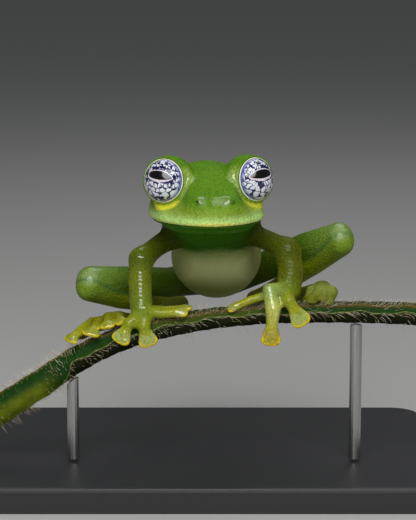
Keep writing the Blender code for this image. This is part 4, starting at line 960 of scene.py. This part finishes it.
def make_skin():
    """The frog's whole skin as one piece."""
    points, quads = largest_piece(*body_clay().surface())
    skin = new_piece("skin", in_model(points), quads, skin_material())
    normals = np.zeros(len(points) * 3, np.float32)
    skin.data.vertices.foreach_get("normal", normals)
    colours = skin_colours(points, normals.reshape(-1, 3))
    point_attribute(skin.data, "skin_colour", "FLOAT_COLOR", np.c_[colours, np.ones(len(points))])
    hx, hy, hz = in_axes(*points.T, HEAD_PLACE, HEAD_AXES)
    away = np.linalg.norm(np.stack((hx, hy - 1.0, hz)), axis=0)
    gloss = np.full(len(points), 0.05)
    beads = np.sin(points[:, 2] * 17.0) + 0.8 * np.sin(points[:, 2] * 29.0 + 4.0 * points[:, 0])
    forearm = smoothstep(swept(FOREARM_RIGHT)[2](*points.T), 0.4, 0.1) * smoothstep(beads, 0.0, 0.7)
    gloss += 0.9 * forearm * smoothstep(points[:, 2], -5.2, -4.6)
    gloss += 0.25 * smoothstep(swept(FOREARM_LEFT)[2](*points.T), 0.4, 0.1) * smoothstep(beads, -1.0, 1.0)
    for chain in (THIGH_RIGHT, THIGH_LEFT):
        gloss += 0.6 * smoothstep(np.linalg.norm(points - chain[-1][0], axis=1), 1.9, 1.3)
    fingers = FINGERS_RIGHT + FINGERS_LEFT
    reach = np.min([swept(chain[1:])[2](*points.T) for chain, *shape in fingers], axis=0)
    gloss += 0.3 * smoothstep(reach, 0.35, 0.1)
    long_finger = swept(FINGERS_LEFT[2][0][1:])[2](*points.T)
    gloss += 0.6 * smoothstep(long_finger, 0.35, 0.1) * smoothstep(beads, -1.4, 0.2)
    for chain, *shape in fingers + TOES_RIGHT:
        gloss += 0.6 * smoothstep(np.linalg.norm(points - pad_place(chain, *shape)[0], axis=1), 1.0, 0.5)
    for name, side in SIDES:
        eye = head_point(side * EYE_SPREAD, 0.0, 0.0)
        up, across = up_and_across(*points.T, eye, gaze(side, EYE_OUTWARD, EYE_UPWARD))
        margin = smoothstep(across, 2.2, 2.4) * smoothstep(across, 3.1, 2.7)
        margin = margin * smoothstep(side * hx, 3.4, 2.4) * smoothstep(up, -0.4, 0.2)
        gloss += margin * smoothstep(hz, -1.9, -1.2) * smoothstep(hz, 1.4, 0.6)
    for side, inward, reach in WET_SNOUT_HIGHLIGHTS:
        snout = np.linalg.norm(points - nostril_point(side, -inward, 0.0, 0.25), axis=1)
        gloss += 1.2 * smoothstep(snout, reach, 0.4 * reach)
    point_attribute(skin.data, "gloss", "FLOAT", gloss.clip(0, 1))
    crown = smoothstep(np.abs(hx), 2.6, 1.0) * smoothstep(hz, -2.2, -0.8) * smoothstep(hy, 4.0, 0.0)
    belly = smoothstep(ellipsoid(BELLY[0], BELLY[1], pitched(BELLY[2]))[2](*points.T), 0.5, 0.1) * smoothstep(points[:, 2], 1.2, 0.6)
    point_attribute(skin.data, "grain", "FLOAT", 1.0 - 0.8 * belly)
    point_attribute(skin.data, "spots", "FLOAT", (0.15 + 0.55 * crown) * (1.0 - belly))
    flesh = ["head", "torso"] + [part + "_" + name for name, side in SIDES
                                 for part in ("upper_arm", "forearm", "hand", "thigh", "shank", "foot")]
    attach(skin, "root")
    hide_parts(*flesh)


# Eyes: the front of each ball is finely divided, and its iris is painted on the points
EYE_TURNS = 320
FRONT_RINGS = 104
BACK_RINGS = 16
FRONT_ANGLE = math.radians(82)
PUPIL_TILT = math.radians(7)    # the pupil's nose end is the lower one
IRIS_SEED = 4
# Rows of pale cells round the pupil: how far out, cell spacing, and cell shape along and across the row
UPPER_ROWS = ((0.28, 0.3, 1.0, 1.0), (0.62, 0.4, 1.2, 1.0), (1.0, 0.7, 1.8, 1.0), (1.4, 0.95, 2.2, 1.1),
              (1.8, 1.1, 2.2, 1.1))
LOWER_ROWS = ((0.5, 0.31, 0.8, 1.6), (1.08, 0.6, 1.1, 1.2), (1.6, 1.1, 2.2, 1.0))
IRIS_WHITE = srgb(248, 250, 255)
IRIS_SHADE = srgb(176, 190, 226)
IRIS_NET = srgb(22, 24, 78)
IRIS_BLUE = srgb(104, 110, 196)
PUPIL_RING = srgb(216, 192, 204)
PUPIL_BLACK = srgb(5, 5, 8)
RIM_WHITE = srgb(240, 238, 212)


def wave_noise(x, y, dice, scale):
    """Smooth noise from about -1 to 1 made of a few crossing waves."""
    total = 0.0
    for _ in range(7):
        turn, shift, size = dice.uniform(0, 2 * np.pi), dice.uniform(0, 2 * np.pi), dice.uniform(0.6, 1.6)
        total = total + np.sin(2 * np.pi * size / scale * (x * math.cos(turn) + y * math.sin(turn)) + shift)
    return total / 3.0


def pupil_edge(turn):
    """How far the pupil's edge is from its middle, by direction: 0 is towards the nose, a quarter turn is up."""
    power = np.where(np.cos(turn) > 0, 1.55, 2.2)
    flat = (np.abs(np.cos(turn)) / PUPIL_HALF_WIDTH) ** power + (np.abs(np.sin(turn)) / PUPIL_HALF_HEIGHT) ** power
    return flat ** (-1.0 / power)


def iris_cells(dice):
    """Places, directions and shapes of the pale cells of the iris."""
    cells = []
    for rows, first, last in ((UPPER_ROWS, 0.0, np.pi), (LOWER_ROWS, np.pi, 2 * np.pi)):
        for out, spacing, along, across in rows:
            turn = first + dice.uniform(0, 0.3)
            while turn < last:
                away = pupil_edge(turn) + out + dice.normal(0, 0.05)
                cells.append((away * math.cos(turn), away * math.sin(turn), turn,
                              along * dice.uniform(0.8, 1.25), across * dice.uniform(0.85, 1.2)))
                ahead = turn + 0.05
                step = math.hypot(pupil_edge(ahead) + out - away, away * 0.05) / 0.05
                turn += spacing * dice.uniform(0.75, 1.25) / step
    return cells


def iris_colours(x, y, to_rim, dice):
    """Colours of an eye's front: a pale iris under a dark net, round a black pupil with a pink edge."""
    turn, away = np.arctan2(y, x), np.hypot(x, y)
    out = away - pupil_edge(turn)
    bent_x = x + 0.08 * wave_noise(x, y, dice, 0.6)
    bent_y = y + 0.08 * wave_noise(x, y, dice, 0.6)
    first = np.full(len(x), FAR)
    second = np.full(len(x), FAR)
    tone = np.zeros(len(x))
    for cell_x, cell_y, heading, along, across in iris_cells(dice):
        dx, dy = bent_x - cell_x, bent_y - cell_y
        radial = (dx * math.cos(heading) + dy * math.sin(heading)) / across
        sideways = (dy * math.cos(heading) - dx * math.sin(heading)) / along
        distance = np.hypot(radial, sideways)
        nearer = distance < first
        second = np.where(nearer, first, np.minimum(second, distance))
        tone = np.where(nearer, dice.random(), tone)
        first = np.where(nearer, distance, first)
    edge = (second - first) / 2
    width = 0.042 + 0.036 * np.exp(-(np.maximum(out - 0.3, 0) / 0.3) ** 2)
    width = width * (1.0 + 0.7 * wave_noise(x, y, dice, 0.9))
    net = smoothstep(edge, width + 0.025, width - 0.012)
    ring = 0.12 + 0.13 * smoothstep(y, 0.0, -0.4) + 0.03 * wave_noise(x, y, dice, 0.3)
    ragged = ring + 0.06 * (1.0 + wave_noise(x, y, dice, 0.4))
    net = np.maximum(net, smoothstep(out, ragged + 0.03, ragged - 0.02))
    white = mix(IRIS_WHITE, IRIS_SHADE, 0.35 * tone * smoothstep(out, 0.2, 1.0) + 0.3 * smoothstep(to_rim, 0.8, 0.3))
    colour = mix(white, IRIS_NET, net)
    blue = smoothstep(to_rim, 0.36 + 0.2 * smoothstep(x, -0.5, 1.5), 0.16) * smoothstep(x, -1.7, 0.4)
    colour = mix(colour, IRIS_BLUE, 0.85 * np.maximum(blue, 0.35 * smoothstep(to_rim, 0.3, 0.1)))
    pink = mix(PUPIL_RING, IRIS_WHITE, 0.5 + 0.5 * wave_noise(x, y, dice, 0.25).clip(-1, 1))
    colour = mix(colour, pink, smoothstep(out, ring + 0.03, ring - 0.03))
    colour = mix(colour, IRIS_NET, smoothstep(to_rim, 0.16, 0.1))
    return mix(colour, PUPIL_BLACK, smoothstep(out, 0.02, -0.02))


def iris_material():
    """The painted iris under a wet clear coat, with fine pale fibres."""
    shader = Shader("iris", Roughness=0.2, Coat_Weight=1.0, Coat_Roughness=0.02, Specular_IOR_Level=0.3)
    fibres = shader.noise(shader.place(), 9000.0, 2.0)
    colour = shader.mix(shader.ramp(fibres, 0.4, 0.75, 0.0, 0.15), shader.attribute("iris_colour", "Color"),
                        (0.45, 0.5, 0.7), "MULTIPLY")
    shader.put(shader.surface.inputs["Base Color"], colour)
    return shader.material


def eye_axes(axis):
    """Level and upright directions square to an eye's axis, then the axis."""
    across = unit(np.cross((0.0, 0.0, 1.0), axis))
    return np.array((across, np.cross(axis, across), axis))


def make_eye(name, side, material):
    """An eyeball whose pole looks along the pupil's axis, painted with its iris."""
    centre = head_point(side * EYE_SPREAD, 0.0, 0.0)
    axes = eye_axes(gaze(side, PUPIL_OUTWARD[side], PUPIL_UPWARD))
    polar = np.concatenate((FRONT_ANGLE * np.arange(1, FRONT_RINGS + 1) / FRONT_RINGS,
                            FRONT_ANGLE + (np.pi - FRONT_ANGLE) * np.arange(1, BACK_RINGS) / BACK_RINGS))
    turn = 2 * np.pi * np.arange(EYE_TURNS) / EYE_TURNS
    grid = np.stack([np.sin(polar)[:, None] * np.cos(turn), np.sin(polar)[:, None] * np.sin(turn),
                     np.cos(polar)[:, None] * np.ones(EYE_TURNS)], axis=2).reshape(-1, 3)
    local = np.concatenate(([(0, 0, 1.0)], grid, [(0, 0, -1.0)]))
    last = len(local) - 1
    faces = []
    for k in range(EYE_TURNS):
        after = (k + 1) % EYE_TURNS
        faces.append((0, 1 + k, 1 + after))
        for j in range(len(polar) - 1):
            low, high = 1 + j * EYE_TURNS, 1 + (j + 1) * EYE_TURNS
            faces.append((low + k, high + k, high + after, low + after))
        faces.append((last, last - EYE_TURNS + after, last - EYE_TURNS + k))
    points = centre + EYE_RADIUS * local @ axes
    eye = new_piece("eyeball_" + name, in_model(points), faces, material)
    bend = np.arccos(np.clip(local[:, 2], -1, 1))
    spread = EYE_RADIUS * bend / np.maximum(np.sin(bend), 1e-6)
    x, y = -side * local[:, 0] * spread, local[:, 1] * spread
    tilt = PUPIL_TILT
    x, y = x * math.cos(tilt) - y * math.sin(tilt), x * math.sin(tilt) + y * math.cos(tilt)
    opening = gaze(side, EYE_OUTWARD, EYE_UPWARD)
    angle = np.arccos(np.clip((points - centre) @ opening / EYE_RADIUS, -1, 1))
    to_rim = EYE_RADIUS * (math.atan2(RIM_RADIUS, RIM_SEAT) - angle)
    colour = iris_colours(x, y, to_rim, np.random.default_rng(IRIS_SEED + side))
    point_attribute(eye.data, "iris_colour", "FLOAT_COLOR", np.c_[colour, np.ones(len(points))])
    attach(eye, "root")
    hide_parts("eye_" + name)


def rim_material():
    """Moist pale skin of the lid's edge, mottled with green."""
    shader = Shader("lid_rim", Roughness=0.3, Coat_Weight=0.5)
    mottle = shader.noise(shader.place(), 1800.0, 2.0)
    shader.put(shader.surface.inputs["Base Color"],
               shader.mix(shader.ramp(mottle, 0.45, 0.75, 0.0, 0.5), RIM_WHITE, srgb(170, 190, 96)))
    return shader.material


def make_lid_rim(name, side, material):
    """The pale thin line where the lid meets the eye, thicker at the nose side."""
    centre = head_point(side * EYE_SPREAD, 0.0, 0.0)
    across, up, axis = eye_axes(gaze(side, EYE_OUTWARD, EYE_UPWARD))
    points, faces = [], []
    turns, sides = 120, 10
    for j in range(turns):
        angle = 2 * math.pi * j / turns
        out = across * math.cos(angle) + up * math.sin(angle)
        noseward = 0.5 - 0.5 * side * math.cos(angle)
        thick = RIM_THICK[0] + (RIM_THICK[1] - RIM_THICK[0]) * noseward
        for k in range(sides):
            roll = 2 * math.pi * k / sides
            points.append(centre + axis * (RIM_SEAT + thick * math.sin(roll))
                          + out * (RIM_RADIUS + thick * math.cos(roll)))
            faces.append((j * sides + k, (j + 1) % turns * sides + k, (j + 1) % turns * sides + (k + 1) % sides,
                          j * sides + (k + 1) % sides))
    rim = new_piece("lid_rim_" + name, in_model(points), faces, material)
    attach(rim, "root")


# Stem and hairs
STEM_TOP = srgb(22, 62, 6)
STEM_LIT = srgb(66, 84, 10)         # the top between the hands
# Dark underside: painted shade
STEM_UNDERSIDE_SHADE = srgb(26, 30, 2)
# Olive yellow of the left end's lower side: partly its own colour, partly painted light
STEM_END_AND_LIGHT = srgb(106, 118, 14)
STEM_MARGIN = srgb(150, 158, 92)
STEM_BACK = srgb(112, 92, 44)
HAIR_COLOUR = srgb(240, 230, 206)


def stem_frame(line):
    """Unit vectors along and square to the stem at each of its points, in the stem's plane."""
    tangents = np.gradient(line, axis=0)
    tangents /= np.linalg.norm(tangents, axis=1)[:, None]
    return tangents, np.c_[-tangents[:, 2], np.zeros(len(line)), tangents[:, 0]]


def margin_angles(x):
    """Where the channel's front and rear margins run, round the stem from its front."""
    wave = MARGIN_WAVE * (np.sin(1.35 * x + 0.6) + 0.5 * np.sin(2.9 * x + 2.0))
    front, rear = (np.radians(np.interp(x, *zip(*margin))) for margin in (FRONT_MARGIN, REAR_MARGIN))
    return front + wave, rear + 0.6 * wave


def stem_surface(x, angle):
    """The stem's radius at places along and round it, and how much of a margin is there."""
    front, rear = margin_angles(x)
    turn = (angle + np.pi / 2) % (2 * np.pi) - np.pi / 2
    middle, half = (front + rear) / 2, (rear - front) / 2
    channel = np.clip(1.0 - ((turn - middle) / half) ** 2, 0.0, 1.0)
    margin = np.exp(-((turn - front) / MARGIN_WIDTH) ** 2) + np.exp(-((turn - rear) / MARGIN_WIDTH) ** 2)
    lumps = 0.02 * np.sin(3.1 * x + 3 * angle) + 0.012 * np.sin(7.3 * x - 2 * angle)
    return stem_radius(x) * (1.0 - CHANNEL_DEPTH * channel + MARGIN_RISE * margin + lumps), channel, margin


def stem_material():
    """A hairy green stem: dark green channel, pale margins, an underside darkened as painted shade, and an
    olive-yellow left end that is partly painted light.
    """
    shader = Shader("stem", Roughness=0.65, Subsurface_Weight=0.15, Subsurface_Scale=0.4 * MM,
                    Subsurface_Radius=(0.8, 1.0, 0.3), Specular_IOR_Level=0.15)
    place = shader.place()
    base = shader.attribute("stem_colour", "Color")
    blotch = shader.noise(place, 700.0, 3.0)
    base = shader.mix(shader.ramp(blotch, 0.3, 0.75, 0.0, 0.55), base, (0.5, 0.6, 0.35), "MULTIPLY")
    shader.put(shader.surface.inputs["Base Color"], base)
    stretched = shader.node("ShaderNodeMapping", {"Vector": place, "Scale": (500.0, 3500.0, 3500.0)}).outputs[0]
    normal = shader.bump(shader.noise(stretched, 1.0, 3.0), 0.08 * MM, 0.8)
    normal = shader.bump(shader.noise(place, 4000.0, 2.0), 0.03 * MM, 0.6, normal)
    shader.put(shader.surface.inputs["Normal"], normal)
    return shader.material


def make_stem():
    """The stem's own surface, with its channel and wavy margins."""
    line = stem_line(STEM_STEP)
    tangents, ups = stem_frame(line)
    angles = 2 * np.pi * np.arange(STEM_SIDES) / STEM_SIDES
    x, turn = np.meshgrid(line[:, 0], angles, indexing="ij")
    radius, channel, margin = stem_surface(x, turn)
    out = ups[:, None, :] * np.sin(turn)[..., None] - np.array((0.0, 1.0, 0.0)) * np.cos(turn)[..., None]
    points = (line[:, None, :] + radius[..., None] * out).reshape(-1, 3)
    faces = []
    for j in range(len(line) - 1):
        for k in range(STEM_SIDES):
            after = (k + 1) % STEM_SIDES
            low, high = j * STEM_SIDES, (j + 1) * STEM_SIDES
            faces.append((low + k, high + k, high + after, low + after))
    faces.append(tuple(range(STEM_SIDES)))
    last = (len(line) - 1) * STEM_SIDES
    faces.append(tuple(reversed(range(last, last + STEM_SIDES))))
    stem = new_piece("stem", in_model(points), faces, stem_material())
    stem.data.set_sharp_from_angle(angle=math.radians(60))
    # Painted shade: darkest underneath, lighter towards the top
    upward = np.sin(turn)
    low = mix(STEM_UNDERSIDE_SHADE, STEM_END_AND_LIGHT, smoothstep(x, -13.5, -17.5))
    top = mix(STEM_TOP, STEM_LIT, smoothstep(np.abs(x), 8.0, 3.0))
    colour = mix(low, top, np.clip(smoothstep(channel, 0.0, 0.25) + 0.5 * smoothstep(upward, -0.2, 0.8), 0, 1))
    front, rear = margin_angles(x)
    wrapped = (turn + np.pi / 2) % (2 * np.pi) - np.pi / 2
    # Painted light, with the end's own olive yellow, on the lower side at the left end
    colour = mix(colour, STEM_END_AND_LIGHT, smoothstep(x, -14.5, -17.5) * smoothstep(wrapped, 0.75, -0.35))
    colour = mix(colour, STEM_MARGIN, 0.8 * np.exp(-((wrapped - front) / (0.3 * MARGIN_WIDTH)) ** 2))
    colour = mix(colour, STEM_BACK, 0.9 * np.exp(-((wrapped - rear) / (1.2 * MARGIN_WIDTH)) ** 2))
    point_attribute(stem.data, "stem_colour", "FLOAT_COLOR", np.c_[colour.reshape(-1, 3), np.ones(len(points))])
    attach(stem, "root")
    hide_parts("perch")


def hair_roots(dice):
    """The stem's hairs: (x, angle round the stem, length, lean along it, lean round it)."""
    roots = []
    for x in np.arange(-21.2, 21.2, HAIR_SPACING):
        place = x + dice.uniform(-0.04, 0.04)
        front, rear = margin_angles(place)
        combed = smoothstep(place, -11.5, -13.5)
        roots.append((place, rear + dice.normal(0.05, 0.12), dice.uniform(0.7, 1.25), 0.3 - 0.6 * combed, 0.0))
        if dice.random() < 0.5:
            roots.append((place, front - abs(dice.normal(0.05, 0.2)), dice.uniform(0.5, 1.15), 0.6, 0.0))
        if dice.random() < 0.26:
            roots.append((place, dice.uniform(-np.pi, -0.3), dice.uniform(0.5, 1.1), 0.3, 0.0))
        if dice.random() < 0.4:
            roots.append((place, dice.uniform(np.pi * 0.55, np.pi), dice.uniform(0.6, 1.2), 0.1, 0.0))
        if dice.random() < 0.1 + 0.6 * combed:
            roots.append((place, dice.uniform(front, rear), dice.uniform(0.25, 0.6), 0.2, 0.0))
        if -15.6 < place < -12.6:
            roots.append((place, dice.uniform(front + 0.3, rear), dice.uniform(0.6, 1.0), 0.0, -1.6))
    return roots


def make_hairs():
    """The stem's hairs: tapered bristles that stand square to the stem and curl a little."""
    dice = np.random.default_rng(HAIR_SEED)
    line = stem_line(STEM_STEP)
    tangents, ups = stem_frame(line)
    points, faces, maps = [], [], []
    for x, angle, length, lean, comb in hair_roots(dice):
        at = int(np.argmin(np.abs(line[:, 0] - x)))
        tangent, up = tangents[at], ups[at]
        out = up * math.sin(angle) - np.array((0.0, math.cos(angle), 0.0))
        radius = stem_surface(np.array(line[at, 0]), np.array(angle))[0]
        root = line[at] + out * (radius - 0.03)
        slant = 0.28 * smoothstep(line[at, 0], -8.0, 6.0) + lean + dice.normal(0, 0.22)
        side = np.cross(tangent, out)
        way = unit(out + slant * tangent + (comb + dice.normal(0, 0.22)) * side)
        curl = dice.normal(0, 0.4) * tangent + dice.normal(0, 0.4) * side - np.array((0, 0, 0.3))
        thick = HAIR_RADIUS * dice.uniform(0.75, 1.25)
        first = unit(np.cross(way, tangent + 0.01))
        second = np.cross(way, first)
        start = len(points)
        for j in range(HAIR_SEGMENTS + 1):
            t = j / HAIR_SEGMENTS
            middle = root + way * length * t + curl * length * t * t * 0.5
            wide = thick * (1.0 - t) ** 0.7 if j < HAIR_SEGMENTS else 0.0
            if j == HAIR_SEGMENTS:
                points.append(middle)
                continue
            for k in range(3):
                roll = 2 * math.pi * k / 3
                points.append(middle + wide * (first * math.cos(roll) + second * math.sin(roll)))
        for j in range(HAIR_SEGMENTS - 1):
            for k in range(3):
                a, b = start + 3 * j + k, start + 3 * j + (k + 1) % 3
                faces.append((a, b, b + 3, a + 3))
        tip = start + 3 * HAIR_SEGMENTS
        for k in range(3):
            faces.append((tip - 3 + k, tip - 3 + (k + 1) % 3, tip))
        faces.append((start + 2, start + 1, start))
        patch = (0.02 + 0.94 * (line[at, 0] + 21.4) / 42.8, 0.02 + 0.94 * (angle % (2 * np.pi)) / (2 * np.pi))
        maps += [patch] * (3 * HAIR_SEGMENTS + 1)
    shader = Shader("hair", Roughness=0.45, Specular_IOR_Level=0.4, Subsurface_Weight=0.0)
    tone = shader.noise(shader.place(), 900.0, 1.0)
    shader.put(shader.surface.inputs["Base Color"],
               shader.mix(shader.ramp(tone, 0.35, 0.65), HAIR_COLOUR, srgb(190, 166, 128)))
    hairs = new_piece("stem_hairs", in_model(points), faces, shader.material)
    layer = hairs.data.uv_layers.new(name="OFBake")
    corner = np.zeros(len(hairs.data.loops), np.int32)
    hairs.data.loops.foreach_get("vertex_index", corner)
    patch_corners = np.array([(0, 0), (0.003, 0), (0, 0.003)])
    spots = np.array(maps)[corner] + patch_corners[corner % 3]
    layer.data.foreach_set("uv", spots.astype(np.float32).ravel())
    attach(hairs, "root")


# Stand, floor, light and camera
def finish_stand(nodes):
    """Finishes for the stand's own solids."""
    base = Shader("stand_finish", Roughness=0.42, Coat_Weight=0.1, Coat_Roughness=0.3)
    grain = base.noise(base.place(), 4000.0, 3.0)
    base.put(base.surface.inputs["Base Color"], base.mix(base.ramp(grain, 0.3, 0.7), srgb(46, 46, 48), srgb(40, 40, 42)))
    base.put(base.surface.inputs["Normal"], base.bump(grain, 0.01 * MM, 0.4))
    steel = Shader("rod_finish", Metallic=1.0)
    brushed = steel.node("ShaderNodeMapping", {"Vector": steel.place(), "Scale": (9000.0, 9000.0, 300.0)}).outputs[0]
    streaks = steel.noise(brushed, 1.0, 3.0)
    steel.put(steel.surface.inputs["Base Color"], steel.mix(streaks, srgb(196, 196, 194), srgb(172, 172, 170)))
    steel.put(steel.surface.inputs["Roughness"], steel.ramp(streaks, 0.2, 0.8, 0.22, 0.36))
    nodes["stand_base"].material_slots[0].material = base.material
    for name, side in SIDES:
        nodes["stand_rod_" + name].material_slots[0].material = steel.material


def make_floor():
    """A plain pale floor."""
    shader = Shader("floor", Roughness=0.9)
    shader.put(shader.surface.inputs["Base Color"], (*srgb(190, 190, 188), 1.0))
    half = 2500.0 * MM
    floor = new_piece("floor", [(-half, -half, 0), (half, -half, 0), (half, half, 0), (-half, half, 0)],
                      [(0, 1, 2, 3)], shader.material)


def make_light(name, rise, azimuth, distance, size, power):
    """A round soft light aimed at the frog; azimuth 0 is in front, 90 on the frog's left."""
    light = bpy.data.lights.new(name, "AREA")
    light.shape = "DISK"
    light.size = size * MM
    light.energy = power
    obj = bpy.data.objects.new(name, light)
    bpy.context.scene.collection.objects.link(obj)
    up, turn = math.radians(rise), math.radians(azimuth)
    out = Vector((math.sin(turn) * math.cos(up), -math.cos(turn) * math.cos(up), math.sin(up)))
    aim = Vector(CAMERA_AIM) * MM
    obj.location = aim + out * distance * MM
    obj.rotation_mode = "QUATERNION"
    obj.rotation_quaternion = (-out).to_track_quat("-Z", "Y")


def make_camera():
    """A camera at the photo's viewing angle."""
    camera = bpy.data.cameras.new("camera")
    camera.sensor_width = SENSOR
    camera.lens = SENSOR * FOCAL_PIXELS / FRAME_HEIGHT
    camera.clip_start = MM
    obj = bpy.data.objects.new("camera", camera)
    bpy.context.scene.collection.objects.link(obj)
    back = Vector((0.0, -math.cos(CAMERA_RISE), math.sin(CAMERA_RISE)))
    obj.location = (Vector(CAMERA_AIM) + back * CAMERA_DISTANCE) * MM
    obj.rotation_mode = "QUATERNION"
    obj.rotation_quaternion = (-back).to_track_quat("-Z", "Y")
    bpy.context.scene.camera = obj


def make_world():
    """Pale light from all round."""
    world = bpy.data.worlds.new("world")
    world.use_nodes = True
    background = world.node_tree.nodes["Background"]
    background.inputs["Color"].default_value = (0.75, 0.78, 0.8, 1.0)
    background.inputs["Strength"].default_value = 0.12
    bpy.context.scene.world = world
    bpy.context.scene.view_settings.view_transform = "Standard"


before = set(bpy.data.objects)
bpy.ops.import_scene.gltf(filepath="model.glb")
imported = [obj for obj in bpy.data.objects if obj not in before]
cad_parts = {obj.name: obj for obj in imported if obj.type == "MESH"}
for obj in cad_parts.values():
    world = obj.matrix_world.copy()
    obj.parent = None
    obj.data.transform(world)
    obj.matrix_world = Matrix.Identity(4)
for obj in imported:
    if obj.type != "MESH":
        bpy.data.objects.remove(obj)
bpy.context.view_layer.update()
make_camera()
make_world()
make_floor()
make_light("key", 42.0, 0.0, 220.0, 200.0, 0.5)
make_light("rear", 60.0, 165.0, 260.0, 200.0, 0.12)
make_skin()
iris = iris_material()
rim_finish = rim_material()
for eye_name, eye_side in SIDES:
    make_eye(eye_name, eye_side, iris)
    make_lid_rim(eye_name, eye_side, rim_finish)
make_stem()
make_hairs()
finish_stand(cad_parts)
